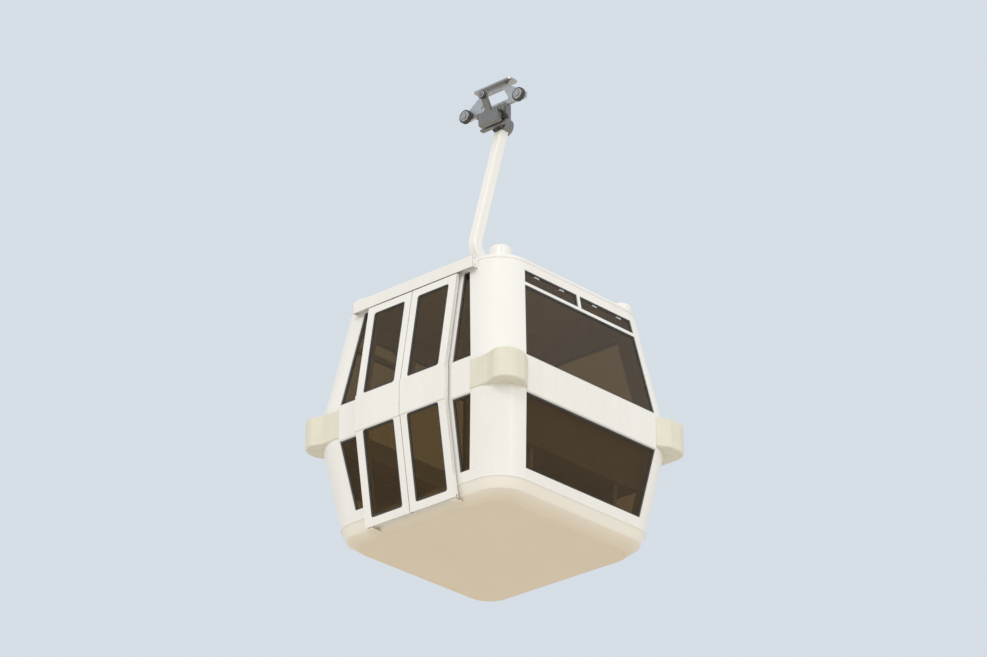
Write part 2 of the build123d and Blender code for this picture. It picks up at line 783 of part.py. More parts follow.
# Grip body: the fixed jaw round the rope, with two ears for the moving jaw's pin.
pin_y = -PIN_OUT
jaw_bottom = -(ROPE_RADIUS + JAW_FLOOR)
ear_root = CUT - JAW_LIP
fixed_jaw_section = [
    (-JAW_LIP, JAW_TOP),
    (jaw_back, JAW_TOP),
    (jaw_back, jaw_bottom + JAW_CHAMFER),
    (jaw_back - JAW_CHAMFER, jaw_bottom),
    (0, jaw_bottom),
    (0, 0),
    (-JAW_LIP, 0),
]
with BuildPart() as grip_body:
    with BuildSketch(Plane.YZ):
        Polygon(*fixed_jaw_section, align=None)
        Circle(ROPE_RADIUS, mode=Mode.SUBTRACT)
    extrude(amount=JAW_HALF_LENGTH, both=True)
    for ear_x in (EAR_INNER, -EAR_INNER - EAR_THICKNESS):
        with BuildSketch(Plane.YZ.offset(ear_x)):
            with Locations((pin_y, PIN_RISE)):
                Circle(EAR_RADIUS)
            with Locations(((pin_y + ear_root) / 2, PIN_RISE)):
                Rectangle(ear_root - pin_y, 2 * EAR_RADIUS)
            with Locations((pin_y, PIN_RISE)):
                Circle(PIN_RADIUS, mode=Mode.SUBTRACT)
        extrude(amount=EAR_THICKNESS)
finish(grip_body, "grip_body")

with BuildPart() as jaw_pin:
    with BuildSketch(Plane.YZ):
        with Locations((pin_y, PIN_RISE)):
            Circle(PIN_RADIUS)
    extrude(amount=EAR_INNER + EAR_THICKNESS + PIN_END, both=True)
finish(jaw_pin, "jaw_pin")

collar_start = hub_end + RUNNING_GAP
with BuildPart() as hanger_shaft:
    add(cylinder_y(SHAFT_COLLAR_RADIUS, 0.0, jaw_back, hub_start - RUNNING_GAP, 0.0))
    add(cylinder_y(SHAFT_RADIUS, 0.0, jaw_back, collar_start, 0.0))
    add(cylinder_y(SHAFT_COLLAR_RADIUS, 0.0, collar_start, collar_start + SHAFT_COLLAR, 0.0))
finish(hanger_shaft, "hanger_shaft")

# Carriage arch on the grip body, with an axle and a roller at each end.
arch_front = ARCH_SETBACK - JAW_LIP
arch_back = arch_front + ARCH_THICKNESS
arch_top = JAW_TOP + ARCH_HEIGHT
arch_foot_half = ROLLER_X + ARCH_END
arch_shoulder = JAW_TOP + ARCH_FOOT_HEIGHT
roller_z = JAW_TOP + ROLLER_RISE
arch_outline = [
    (-arch_foot_half, JAW_TOP),
    (arch_foot_half, JAW_TOP),
    (arch_foot_half, arch_shoulder),
    (ARCH_TOP_HALF, arch_top),
    (-ARCH_TOP_HALF, arch_top),
    (-arch_foot_half, arch_shoulder),
]
arch_window = [
    (ARCH_LEG - arch_foot_half, JAW_TOP + ARCH_BAR),
    (arch_foot_half - ARCH_LEG, JAW_TOP + ARCH_BAR),
    (ARCH_TOP_HALF - ARCH_HAUNCH, arch_top - ARCH_BAR),
    (ARCH_HAUNCH - ARCH_TOP_HALF, arch_top - ARCH_BAR),
]
with BuildPart() as carriage_arch:
    with BuildSketch(Plane.XZ.offset(-arch_front)):
        add(rounded_polygon(arch_outline, ARCH_ROUNDING))
        add(rounded_polygon(arch_window, ARCH_ROUNDING), mode=Mode.SUBTRACT)
        with Locations((-ROLLER_X, roller_z), (ROLLER_X, roller_z)):
            Circle(AXLE_RADIUS, mode=Mode.SUBTRACT)
    extrude(amount=-ARCH_THICKNESS)
finish(carriage_arch, "carriage_arch")

spacer_front = arch_front - AXLE_SPACER
roller_back = spacer_front - RUNNING_GAP
roller_front = roller_back - ROLLER_WIDTH
head_back = roller_front - RUNNING_GAP
with BuildPart() as roller_axles:
    for x in (-ROLLER_X, ROLLER_X):
        add(cylinder_y(AXLE_RADIUS, x, head_back - AXLE_HEAD, arch_back, roller_z))
        add(cylinder_y(AXLE_HEAD_RADIUS, x, head_back - AXLE_HEAD, head_back, roller_z))
        add(cylinder_y(AXLE_HEAD_RADIUS, x, spacer_front, arch_front, roller_z))
        add(cylinder_y(AXLE_HEAD_RADIUS, x, arch_back, arch_back + AXLE_HEAD, roller_z))
finish(roller_axles, "roller_axles")

for end, side in ENDS:
    x = side * ROLLER_X
    with BuildPart() as roller:
        add(cylinder_y(ROLLER_RADIUS, x, roller_front, roller_back, roller_z))
        fillet(roller.edges(), ROLLER_ROUNDING)
        add(
            cylinder_y(AXLE_RADIUS + BORE_GAP, x, roller_front - CUT, roller_back + CUT, roller_z),
            mode=Mode.SUBTRACT,
        )
    finish(roller, f"{end}_roller")

with BuildPart() as friction_plate:
    with BuildSketch(Plane.XY.offset(arch_top)):
        with Locations((0, (arch_front + arch_back) / 2)):
            RectangleRounded(PLATE_LENGTH, PLATE_WIDTH, PLATE_RADIUS)
    extrude(amount=PLATE_THICKNESS)
finish(friction_plate, "friction_plate")

spring_z = JAW_TOP + SPRING_GAP + SPRING_RADIUS
with BuildPart() as spring_pack:
    for x in (-SPRING_X, SPRING_X):
        add(cylinder_y(SPRING_RADIUS, x, arch_back, arch_back + SPRING_LENGTH, spring_z))
    fillet(spring_pack.edges().group_by(Axis.Y)[-1], SPRING_ROUNDING)
finish(spring_pack, "spring_pack")

# Moving jaw with its lever and axle, which turns on the pin.
moving_inner = -JAW_LIP - MOVING_JAW_GAP
moving_outer = -ROPE_RADIUS - MOVING_JAW_THICKNESS
moving_bottom = -ROPE_RADIUS - MOVING_JAW_FLOOR
moving_half_length = EAR_INNER - MOVING_JAW_GAP
lever_y = pin_y - LEVER_OUT
lever_z = PIN_RISE + LEVER_RISE
lever_roller_back = lever_y - LEVER_ROLLER_GAP
lever_roller_front = lever_roller_back - LEVER_ROLLER_WIDTH
lever_head = lever_roller_front - RUNNING_GAP
moving_jaw_section = [
    (moving_inner, moving_bottom),
    (moving_inner, PIN_RISE - EAR_RADIUS),
    (pin_y + EAR_RADIUS, PIN_RISE),
    (pin_y - EAR_RADIUS, PIN_RISE),
    (moving_outer, 0),
    (moving_outer, moving_bottom + JAW_CHAMFER),
    (moving_outer + JAW_CHAMFER, moving_bottom),
]
lever_section = [
    (pin_y, PIN_RISE),
    (pin_y + EAR_RADIUS / 2, PIN_RISE + EAR_RADIUS / 2),
    (lever_y + LEVER_THICKNESS, lever_z - LEVER_TOP / 2),
    (lever_y + LEVER_THICKNESS, lever_z + LEVER_TOP),
    (lever_y, lever_z + LEVER_TOP),
    (lever_y, lever_z - LEVER_TOP),
    (pin_y - EAR_RADIUS, PIN_RISE),
]
with BuildPart() as moving_jaw:
    with BuildSketch(Plane.YZ):
        Polygon(*moving_jaw_section, align=None)
        with Locations((pin_y, PIN_RISE)):
            Circle(EAR_RADIUS)
        Circle(ROPE_RADIUS, mode=Mode.SUBTRACT)
    extrude(amount=moving_half_length, both=True)
    with BuildSketch(Plane.YZ):
        Polygon(*lever_section, align=None)
    extrude(amount=LEVER_HALF_WIDTH, both=True)
    with BuildSketch(Plane.YZ):
        with Locations((pin_y, PIN_RISE)):
            Circle(PIN_RADIUS + BORE_GAP)
    extrude(amount=moving_half_length + CUT, both=True, mode=Mode.SUBTRACT)
    add(cylinder_y(LEVER_AXLE_RADIUS, 0.0, lever_head, lever_y + CUT, lever_z))
    add(cylinder_y(LEVER_HEAD_RADIUS, 0.0, lever_roller_back + RUNNING_GAP, lever_y + CUT, lever_z))
    add(cylinder_y(LEVER_HEAD_RADIUS, 0.0, lever_head - LEVER_HEAD, lever_head, lever_z))
finish(moving_jaw, "moving_jaw")

# Roller on the lever's axle.
bore_radius = LEVER_AXLE_RADIUS + BORE_GAP
with BuildPart() as lever_roller:
    add(cylinder_y(LEVER_ROLLER_RADIUS, 0.0, lever_roller_front, lever_roller_back, lever_z))
    fillet(lever_roller.edges(), LEVER_ROLLER_ROUNDING)
    add(
        cylinder_y(bore_radius, 0.0, lever_roller_front - CUT, lever_roller_back + CUT, lever_z),
        mode=Mode.SUBTRACT,
    )
finish(lever_roller, "lever_roller")
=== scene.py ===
# %% [markdown]
# # A cable car cabin, dressed for its portrait
#
# The CAD model gives the exact shapes: walls, leaves, roof, arm and grip. This lesson loads that model as a
# fixed frame, gives every surface a finish, and adds what a maker adds last: gaskets, cushions, bolts and
# seals. Everything is in metres, in the model's own frame, so nothing has to be fitted by eye. The origin is
# on the rope's axis, +X runs along the rope, +Z is up, and the doors are on the -Y side.

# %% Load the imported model
import json
import math

import bmesh
import bpy
import numpy as np
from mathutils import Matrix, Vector


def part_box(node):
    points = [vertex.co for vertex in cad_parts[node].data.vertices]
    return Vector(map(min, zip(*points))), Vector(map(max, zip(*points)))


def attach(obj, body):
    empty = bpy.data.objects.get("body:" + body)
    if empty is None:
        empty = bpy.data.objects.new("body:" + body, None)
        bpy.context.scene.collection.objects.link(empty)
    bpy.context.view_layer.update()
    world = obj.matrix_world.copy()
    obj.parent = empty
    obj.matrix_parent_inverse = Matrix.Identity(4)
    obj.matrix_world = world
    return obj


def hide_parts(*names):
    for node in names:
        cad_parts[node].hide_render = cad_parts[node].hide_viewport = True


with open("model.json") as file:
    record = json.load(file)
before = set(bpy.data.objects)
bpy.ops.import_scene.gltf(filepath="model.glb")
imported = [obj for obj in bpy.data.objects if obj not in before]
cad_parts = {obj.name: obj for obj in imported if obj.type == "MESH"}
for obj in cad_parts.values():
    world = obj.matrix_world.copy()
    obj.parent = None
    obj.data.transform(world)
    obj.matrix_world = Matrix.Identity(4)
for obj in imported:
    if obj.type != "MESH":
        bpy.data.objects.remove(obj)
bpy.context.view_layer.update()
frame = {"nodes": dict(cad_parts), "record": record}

# %% [markdown]
# ## The cabin's main sizes
#
# The walls stand straight at the belt and lean in above and below it. A pane, a gasket or a seal that lies on
# a wall has to know how far out that wall stands at its own height, so two small functions say it once.

# %% Main sizes
WALL_FOOT = -3.735
PANE_FOOT = -3.650
BELT_LOW = -3.058
BELT_HIGH = -2.738
VENT_BAR = -2.060
VENT_FOOT = -2.032
PANE_TOP = -1.915
WALL_TOP = -1.830
BELT_HALF_LENGTH = 1.055
BELT_HALF_WIDTH = 1.045
WALL_LEAN = 0.16
END_BAY = 0.775
SIDE_BAY = 0.711
JAMB_OUTER = 0.515
GLASS_INSET = 0.014
GLASS_THICKNESS = 0.008


def lean(z):
    """How far the walls have leaned in at height z: the lean times its distance above or below the belt."""
    z = np.asarray(z, float)
    return WALL_LEAN * np.maximum(np.maximum(BELT_LOW - z, z - BELT_HIGH), 0.0)


def wall_x(z):
    """How far out an end wall's face stands at height z."""
    return BELT_HALF_LENGTH - lean(z)


def wall_y(z):
    """How far out a side wall's face stands at height z."""
    return BELT_HALF_WIDTH - lean(z)


# %% [markdown]
# ## From arrays to meshes
#
# A surface here is a grid of points: rows and columns of places in space, worked out with numpy in one go.
# Blender needs to know which points make a face, and for a grid that is always the same pattern. Adding
# primitives and scaling them would be quicker to type, but a grid says exactly where every point goes.

# %% Directions and grids
ALONG_ROPE = np.array([1.0, 0.0, 0.0])
ACROSS = np.array([0.0, 1.0, 0.0])
UP = np.array([0.0, 0.0, 1.0])


def unit(vectors):
    """Vectors of length one in the same directions."""
    vectors = np.asarray(vectors, float)
    return vectors / np.linalg.norm(vectors, axis=-1, keepdims=True)


def square_to(axis):
    """Three directions at right angles: the axis, and two beside it."""
    axis = unit(axis)
    beside = unit(np.cross(axis, UP if abs(axis[2]) < 0.9 else ALONG_ROPE))
    return axis, beside, np.cross(axis, beside)


def grid_faces(rows, columns, close_rows=False, close_columns=False):
    """Faces of a grid: each joins point (i, j) with its neighbours at i + 1 and j + 1. A closed grid goes on
    from its last points to its first."""
    i, j = np.meshgrid(
        np.arange(rows if close_rows else rows - 1),
        np.arange(columns if close_columns else columns - 1),
        indexing="ij",
    )
    next_i, next_j = (i + 1) % rows, (j + 1) % columns
    corners = [i * columns + j, i * columns + next_j, next_i * columns + next_j, next_i * columns + j]
    return np.stack(corners, axis=-1).reshape(-1, 4).tolist()


def end_faces(rows, columns):
    """One face over a grid's first row, and one over its last."""
    last = (rows - 1) * columns
    return [list(range(columns)), [last + k for k in range(columns)]]


# %% Beads and strips along a path
def rounded_loop(corners, radius, steps=6):
    """Closed path round flat corners: at each corner an arc of the radius, turned in equal steps."""
    corners = np.asarray(corners, float)
    back = unit(np.roll(corners, 1, axis=0) - corners)
    ahead = unit(np.roll(corners, -1, axis=0) - corners)
    half = np.arccos(np.clip((back * ahead).sum(1), -1, 1)) / 2
    centre = corners + unit(back + ahead) * (radius / np.sin(half))[:, None]
    start = (corners + back * (radius / np.tan(half))[:, None] - centre) / radius
    stop = (corners + ahead * (radius / np.tan(half))[:, None] - centre) / radius
    turn = (math.pi - 2 * half)[:, None, None]
    share = np.linspace(0, 1, steps)[None, :, None]
    from_start = np.sin((1 - share) * turn) * start[:, None]
    to_stop = np.sin(share * turn) * stop[:, None]
    arc = (from_start + to_stop) / np.sin(turn)
    return (centre[:, None] + radius * arc).reshape(-1, 3)


def bead_round(path, normal, profile):
    """Bead round a closed flat path: point (i, j) is path i, plus the profile's first number outwards in the
    plane, plus its second number along the normal."""
    normal = unit(normal)
    along = unit(np.roll(path, -1, axis=0) - np.roll(path, 1, axis=0))
    out = unit(np.cross(along, normal))
    profile = np.asarray(profile, float)
    points = path[:, None] + out[:, None] * profile[None, :, :1] + normal * profile[None, :, 1:]
    return points.reshape(-1, 3), grid_faces(len(path), len(profile), close_rows=True, close_columns=True)


def strip_along(path, across, up, profile):
    """Strip along an open path: point (i, j) is path i, plus the profile's first number across and its second
    up. Up is one direction, or one for each place on the path. One face closes each end."""
    path, profile = np.asarray(path, float), np.asarray(profile, float)
    across, up = np.asarray(across, float), np.broadcast_to(np.asarray(up, float), path.shape)
    points = path[:, None] + across * profile[None, :, :1] + up[:, None] * profile[None, :, 1:]
    faces = grid_faces(len(path), len(profile), close_columns=True) + end_faces(len(path), len(profile))
    return points.reshape(-1, 3), faces


# %% Turned shapes and bolt heads
def circle(count, first, second, start=0.0):
    """Points evenly round a circle of radius 1: cos times the first direction plus sin times the second."""
    turn = (start + np.arange(count) * 2 * math.pi / count)[:, None]
    return np.cos(turn) * np.asarray(first, float) + np.sin(turn) * np.asarray(second, float)


def turned(profile, centre, axis, columns=48):
    """Turned shape: each (radius, distance) of the profile goes once round the axis in equal steps."""
    axis, beside, other = square_to(axis)
    ring = circle(columns, beside, other)
    profile = np.asarray(profile, float)
    points = np.asarray(centre, float) + profile[:, None, 1:] * axis + profile[:, None, :1] * ring[None]
    return points.reshape(-1, 3), grid_faces(len(profile), columns, close_columns=True)


# A bolt's head on its washer, ring by ring: radius and height for a head of size 1, and 1 for a hexagon.
BOLT_HEAD = np.array([
    (0.00, 0.46, 0),
    (0.40, 0.46, 0),
    (0.50, 0.38, 1),
    (0.50, 0.08, 1),
    (0.66, 0.08, 0),
    (0.66, 0.00, 0),
    (0.00, 0.00, 0),
])
BOLT_POINTS = 12


def hexagon_heads(centres, axis, size):
    """Bolt heads on washers, as rings of 12 points: in a hexagon every second point is drawn in to the middle
    of a flat, which is cos 30 degrees of the corner's radius."""
    axis, beside, other = square_to(axis)
    ring = circle(BOLT_POINTS, beside, other)
    flats = np.where(np.arange(BOLT_POINTS) % 2, math.cos(math.pi / 6), 1.0)
    radius = BOLT_HEAD[:, :1] * (1 + BOLT_HEAD[:, 2:] * (flats[None] - 1)) * size
    head = radius[..., None] * ring[None] + BOLT_HEAD[:, 1, None, None] * size * axis
    faces = grid_faces(len(BOLT_HEAD), BOLT_POINTS, close_columns=True)
    return [(head.reshape(-1, 3) + np.asarray(centre, float), faces) for centre in centres]


# %% [markdown]
# A finished mesh goes through one door. It joins the parts, merges the doubled points at poles, turns all the
# faces outwards, and shades smooth only where the surface bends by less than 38 degrees. It also gives the
# piece its finish and hangs it on the body that it rides on.

# %% Making a piece
SHARP_ANGLE = math.radians(38)


def new_piece(name, parts, body, finish, stage=False):
    """One object at the origin from several parts, with its finish and the body that it rides on."""
    points, faces, count = [], [], 0
    for part_points, part_faces in parts:
        points.append(np.asarray(part_points, float).reshape(-1, 3))
        faces += [[index + count for index in face] for face in part_faces]
        count += len(points[-1])
    mesh = bpy.data.meshes.new(name)
    mesh.from_pydata(np.concatenate(points).tolist(), [], faces)
    work = bmesh.new()
    work.from_mesh(mesh)
    bmesh.ops.remove_doubles(work, verts=work.verts, dist=1e-6)
    bmesh.ops.recalc_face_normals(work, faces=work.faces)
    work.to_mesh(mesh)
    work.free()
    mesh.polygons.foreach_set("use_smooth", [True] * len(mesh.polygons))
    mesh.set_sharp_from_angle(angle=SHARP_ANGLE)
    mesh.materials.append(finish)
    piece = bpy.data.objects.new(name, mesh)
    bpy.context.scene.collection.objects.link(piece)
    if stage:
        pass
    else:
        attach(piece, body)
    print(f"{name}: {len(mesh.polygons)} faces")
    return piece


# %% [markdown]
# ## Finishes
#
# A finish is a small node tree: noise in the object's own coordinates breaks up the colour and the roughness,
# and a bump gives the fine relief. Image textures would need a picture and an unwrapped surface. Noise in
# object space needs neither, and its scale is in real metres, so one finish suits every piece.

# %% Building blocks for finishes
def finish_tree(name):
    """New material with its Principled shader and object coordinates, ready to be wired."""
    material = bpy.data.materials.new(name)
    material.use_nodes = True
    tree = material.node_tree
    shader = tree.nodes["Principled BSDF"]
    place = tree.nodes.new("ShaderNodeTexCoord")
    return material, tree, shader, place.outputs["Object"]


def noise(tree, place, scale, detail=4.0, stretch=(1, 1, 1)):
    """Noise whose grains are about 1 / scale metres, drawn out along an axis where stretch is small."""
    mapping = tree.nodes.new("ShaderNodeMapping")
    mapping.inputs["Scale"].default_value = stretch
    tree.links.new(place, mapping.inputs["Vector"])
    grain = tree.nodes.new("ShaderNodeTexNoise")
    grain.inputs["Scale"].default_value = scale
    grain.inputs["Detail"].default_value = detail
    tree.links.new(mapping.outputs["Vector"], grain.inputs["Vector"])
    return grain.outputs["Fac"]


def between(tree, value, low, high, from_low=0.3, from_high=0.7):
    """Turns a noise into a number between two limits."""
    ramp = tree.nodes.new("ShaderNodeMapRange")
    limits = {"From Min": from_low, "From Max": from_high, "To Min": low, "To Max": high}
    for socket, number in limits.items():
        ramp.inputs[socket].default_value = number
    tree.links.new(value, ramp.inputs["Value"])
    return ramp.outputs["Result"]


# %% Colour, roughness and relief
def shade(colour, factor):
    """The same colour, darker or paler by a factor."""
    return tuple(channel * factor for channel in colour)


def blend_colour(tree, share, first, second):
    """Colour between two, by a share from 0 to 1. Each colour is three numbers or another node's output."""
    mix = tree.nodes.new("ShaderNodeMix")
    mix.data_type = "RGBA"
    for socket, colour in [(6, first), (7, second)]:
        if isinstance(colour, tuple):
            mix.inputs[socket].default_value = (*colour, 1.0)
        else:
            tree.links.new(colour, mix.inputs[socket])
    tree.links.new(share, mix.inputs[0])
    return mix.outputs[2]


def colour_between(tree, shader, share, first, second):
    """Gives the shader a colour between two, by a share from 0 to 1."""
    tree.links.new(blend_colour(tree, share, first, second), shader.inputs["Base Color"])


def roughness_between(tree, shader, value, low, high, from_low=0.3, from_high=0.7):
    """Gives the shader a roughness that wanders between two limits as a noise does."""
    tree.links.new(between(tree, value, low, high, from_low, from_high), shader.inputs["Roughness"])


def relief(tree, shader, height, strength, distance):
    """Bumps the surface by a height."""
    bump = tree.nodes.new("ShaderNodeBump")
    bump.inputs["Strength"].default_value = strength
    bump.inputs["Distance"].default_value = distance
    tree.links.new(height, bump.inputs["Height"])
    tree.links.new(bump.outputs["Normal"], shader.inputs["Normal"])


# %% [markdown]
# ### Painted, moulded and rubber surfaces
#
# The cabin's frame is sprayed white and lacquered, so it has a clear coat and a very faint orange peel. Rain
# leaves soft streaks that run down, which is noise drawn out along Z. The pads on the corners and the shells
# of the benches are through-coloured mouldings with a fine grain.

# %% Paints and plastics
def painted(name, colour, dusty, roughness, coat, streak=0.16):
    """Sprayed paint: colour with soft vertical streaks of dust, roughness that wanders, and orange peel."""
    material, tree, shader, place = finish_tree(name)
    runs = noise(tree, place, 6.0, detail=2.0, stretch=(1, 1, 0.12))
    streaks = between(tree, runs, 0.0, streak, from_low=0.42, from_high=0.80)
    clouds = between(tree, noise(tree, place, 1.6, detail=3.0), 0.0, streak / 2)
    spread = tree.nodes.new("ShaderNodeMath")
    spread.operation = "ADD"
    tree.links.new(streaks, spread.inputs[0])
    tree.links.new(clouds, spread.inputs[1])
    colour_between(tree, shader, spread.outputs[0], colour, dusty)
    roughness_between(tree, shader, noise(tree, place, 14.0), roughness, roughness + 0.14)
    shader.inputs["Coat Weight"].default_value = coat
    shader.inputs["Coat Roughness"].default_value = 0.08
    relief(tree, shader, noise(tree, place, 130.0, detail=2.0), strength=0.03, distance=0.0003)
    return material


def moulded(name, colour, second, roughness, grain, depth, scuffs=0.0):
    """Plastic or rubber from a mould: mottled colour, a fine grain pressed into it, and level scuffs where it
    rubs along a platform, which are noise drawn out along X and Y."""
    material, tree, shader, place = finish_tree(name)
    mottle = between(tree, noise(tree, place, 11.0, detail=6.0), 0.0, 1.0)
    mottled = blend_colour(tree, mottle, colour, second)
    level = noise(tree, place, 60.0, stretch=(0.07, 0.07, 1))
    rubbed = between(tree, level, 0.0, scuffs, from_low=0.56, from_high=0.72)
    colour_between(tree, shader, rubbed, mottled, shade(second, 0.55))
    roughness_between(tree, shader, noise(tree, place, 30.0), roughness - 0.08, roughness + 0.08)
    relief(tree, shader, noise(tree, place, grain, detail=3.0), strength=0.35, distance=depth)
    return material


white_paint = painted("white_paint", (0.885, 0.875, 0.845), (0.70, 0.67, 0.60), roughness=0.24, coat=0.5)
# Each moulding: two colours, its roughness, grains in a metre, their depth, and how strong its scuffs are.
bumper_pad = moulded("bumper_pad", (0.77, 0.75, 0.635), (0.735, 0.715, 0.60), 0.55, 420.0, 0.0008, 0.10)
bench_shell = moulded("bench_shell", (0.58, 0.56, 0.51), (0.53, 0.51, 0.46), 0.48, 500.0, 0.0006, 0.12)
black_rubber = moulded("black_rubber", (0.030, 0.030, 0.031), (0.048, 0.047, 0.045), 0.62, 380.0, 0.0005)
roller_rubber = moulded("roller_rubber", (0.045, 0.044, 0.043), (0.075, 0.072, 0.068), 0.66, 260.0, 0.001)

# %% [markdown]
# ### The pan under the floor
#
# The pan is painted white all over. The skirt is white where it meets the walls, and the colour turns to a
# warm beige on the underside. That beige is painted shade: the white paint as it looks facing down, with warm
# light thrown up from the ground.
# Two materials would leave a hard line, so one material blends the two by height, which it reads from the Z
# of the object's own coordinates.

# %% Pan paint
SKIRT_TOP = -3.800
SKIRT_FOOT = -3.893


def pan_finish(name, skirt, underside):
    """Satin paint from the skirt's colour to the underside's painted shade, with faint clouds of dust below.
    """
    material, tree, shader, place = finish_tree(name)
    parts = tree.nodes.new("ShaderNodeSeparateXYZ")
    tree.links.new(place, parts.inputs["Vector"])
    # Painted shade: lower on the skirt the colour turns from white to the underside's beige, as a white pan
    # looks in shade lit warm from below.
    share = between(tree, parts.outputs["Z"], 1.0, 0.0, from_low=SKIRT_FOOT, from_high=SKIRT_TOP)
    clouds = between(tree, noise(tree, place, 2.0, detail=5.0), 0.0, 0.5)
    shaded_underside = blend_colour(tree, clouds, underside, shade(underside, 0.93))
    colour_between(tree, shader, share, skirt, shaded_underside)
    roughness_between(tree, shader, noise(tree, place, 12.0), 0.38, 0.52)
    shader.inputs["Coat Weight"].default_value = 0.15
    shader.inputs["Coat Roughness"].default_value = 0.2
    relief(tree, shader, noise(tree, place, 120.0, detail=2.0), strength=0.08, distance=0.0008)
    return material


# The second colour, the underside's beige, is painted shade with a warm bounce of light from the ground, not
# a colour of the paint.
pan_paint = pan_finish("pan_paint", (0.88, 0.85, 0.77), (0.80, 0.695, 0.54))

# %% [markdown]
# ### Metals
#
# Rolled aluminium and machined steel show fine lines along the way they were worked, so their noise is drawn
# out along X. The grip is a rough casting: coarse grain, and a duller sheen left by the foundry's sand.

# %% Metals
BRUSHED = (0.05, 1, 1)
MACHINED = (0.08, 1, 1)
CAST = (1, 1, 1)


def worked_metal(name, colour, second, roughness, stretch, grain, strength):
    """Metal with fine lines from its working: noise drawn out along them shapes both sheen and relief."""
    material, tree, shader, place = finish_tree(name)
    lines = noise(tree, place, grain, stretch=stretch)
    colour_between(tree, shader, between(tree, lines, 0.0, 1.0), colour, second)
    roughness_between(tree, shader, lines, roughness - 0.06, roughness + 0.12)
    shader.inputs["Metallic"].default_value = 1.0
    relief(tree, shader, lines, strength, distance=0.0004)
    return material


# Each metal: two colours, its roughness, how its lines are drawn out, lines in a metre, and their strength.
aluminium = worked_metal("aluminium", (0.72, 0.72, 0.71), (0.60, 0.60, 0.59), 0.34, BRUSHED, 300.0, 0.2)
steel = worked_metal("steel", (0.56, 0.55, 0.54), (0.42, 0.41, 0.40), 0.30, MACHINED, 260.0, 0.2)
cast_steel = worked_metal("cast_steel", (0.36, 0.355, 0.345), (0.22, 0.215, 0.21), 0.52, CAST, 220.0, 0.6)

# %% [markdown]
# The plates over the grip are hot-dip galvanised. The zinc freezes into crystals a few millimetres wide, each
# a slightly different grey. Voronoi cells have the same look: every cell gets one random shade.

# %% Zinc
def galvanised(name, dark, bright):
    """Zinc coat: Voronoi cells of about 8 mm, each with its own shade of grey and its own sheen."""
    material, tree, shader, place = finish_tree(name)
    cells = tree.nodes.new("ShaderNodeTexVoronoi")
    cells.inputs["Scale"].default_value = 120.0
    tree.links.new(place, cells.inputs["Vector"])
    shades = tree.nodes.new("ShaderNodeSeparateColor")
    tree.links.new(cells.outputs["Color"], shades.inputs["Color"])
    colour_between(tree, shader, shades.outputs["Red"], dark, bright)
    roughness_between(tree, shader, shades.outputs["Green"], 0.38, 0.56, from_low=0.0, from_high=1.0)
    shader.inputs["Metallic"].default_value = 0.8
    relief(tree, shader, noise(tree, place, 90.0), strength=0.25, distance=0.0006)
    return material


zinc = galvanised("zinc", (0.44, 0.45, 0.46), (0.60, 0.61, 0.62))

# %% [markdown]
# ### Smoke-tinted glass
#
# The panes are bronze: white light comes out brown after one pane and nearly dark after two. A pane of 8 mm
# has two faces, and each takes the square root of the colour, so the shader's colour is the whole pane's. A
# faint film of dust makes the reflection a little uneven, as on a window that is washed once a month.

# %% Glass
def tinted_glass(name, colour):
    """Clear solid glass with a colour, its polish a little uneven."""
    material, tree, shader, place = finish_tree(name)
    film = between(tree, noise(tree, place, 6.0, detail=5.0), 0.0, 1.0)
    colour_between(tree, shader, film, colour, shade(colour, 1.06))
    roughness_between(tree, shader, noise(tree, place, 18.0), 0.0, 0.03)
    shader.inputs["Transmission Weight"].default_value = 1.0
    shader.inputs["IOR"].default_value = 1.5
    shader.inputs["Specular Tint"].default_value = (1.0, 0.60, 0.24, 1.0)
    return material


smoke_glass = tinted_glass("smoke_glass", (0.29, 0.22, 0.13))

# %% [markdown]
# ### Floor covering
#
# The deck has a dark rubber sheet, worn paler where people walk.

# %% Floor covering
def floor_covering(name, colour, worn):
    """Rubber sheet: large worn patches, and the fine grain of the mould."""
    material, tree, shader, place = finish_tree(name)
    wear = between(tree, noise(tree, place, 3.0, detail=5.0), 0.0, 1.0)
    colour_between(tree, shader, wear, colour, worn)
    roughness_between(tree, shader, noise(tree, place, 20.0), 0.62, 0.78)
    relief(tree, shader, noise(tree, place, 300.0, detail=3.0), strength=0.3, distance=0.0006)
    return material


deck_rubber = floor_covering("deck_rubber", (0.055, 0.055, 0.056), (0.10, 0.098, 0.094))

# %% Give every CAD node its finish
FINISH_OF_SLOT = {
    "white_paint": white_paint,
    "pan_paint": pan_paint,
    "bumper": bumper_pad,
    "glass": smoke_glass,
    "deck": deck_rubber,
    "bench": bench_shell,
    "aluminium": aluminium,
    "steel": steel,
    "cast": cast_steel,
    "zinc": zinc,
    "rubber": roller_rubber,
}
for subpart in frame["record"]["subparts"]:
    node = frame["nodes"][subpart["node"]]
    node.data.materials.clear()
    node.data.materials.append(FINISH_OF_SLOT[subpart["material_slot"]])
print(len(frame["nodes"]), "CAD nodes have their finish")

# %% [markdown]
# ## Window gaskets
#
# Each pane sits in a black rubber gasket. It is a bead of constant section carried once round the pane, so
# the path is the pane's outline with rounded corners, and the profile is a low hump. The pane's own plane
# leans with the wall: its four corners come from the wall functions, and the cross product of two of its
# sides gives the outward normal.

# %% Where a point on a wall lies
# Each wall: the way out of it, the way to the right as seen from outside, and how far out it stands.
WALLS = {
    "front": (ALONG_ROPE, ACROSS, wall_x),
    "rear": (-ALONG_ROPE, -ACROSS, wall_x),
    "back": (ACROSS, -ALONG_ROPE, wall_y),
    "door": (-ACROSS, ALONG_ROPE, wall_y),
}


def on_wall(wall, across, z, proud):
    """Point across to the viewer's right and up to z, this far out from the wall's leaning face."""
    outward, right, reach = WALLS[wall]
    across, z = np.broadcast_arrays(np.asarray(across, float), np.asarray(z, float))
    return outward * (reach(z) + proud)[..., None] + right * across[..., None] + UP * z[..., None]


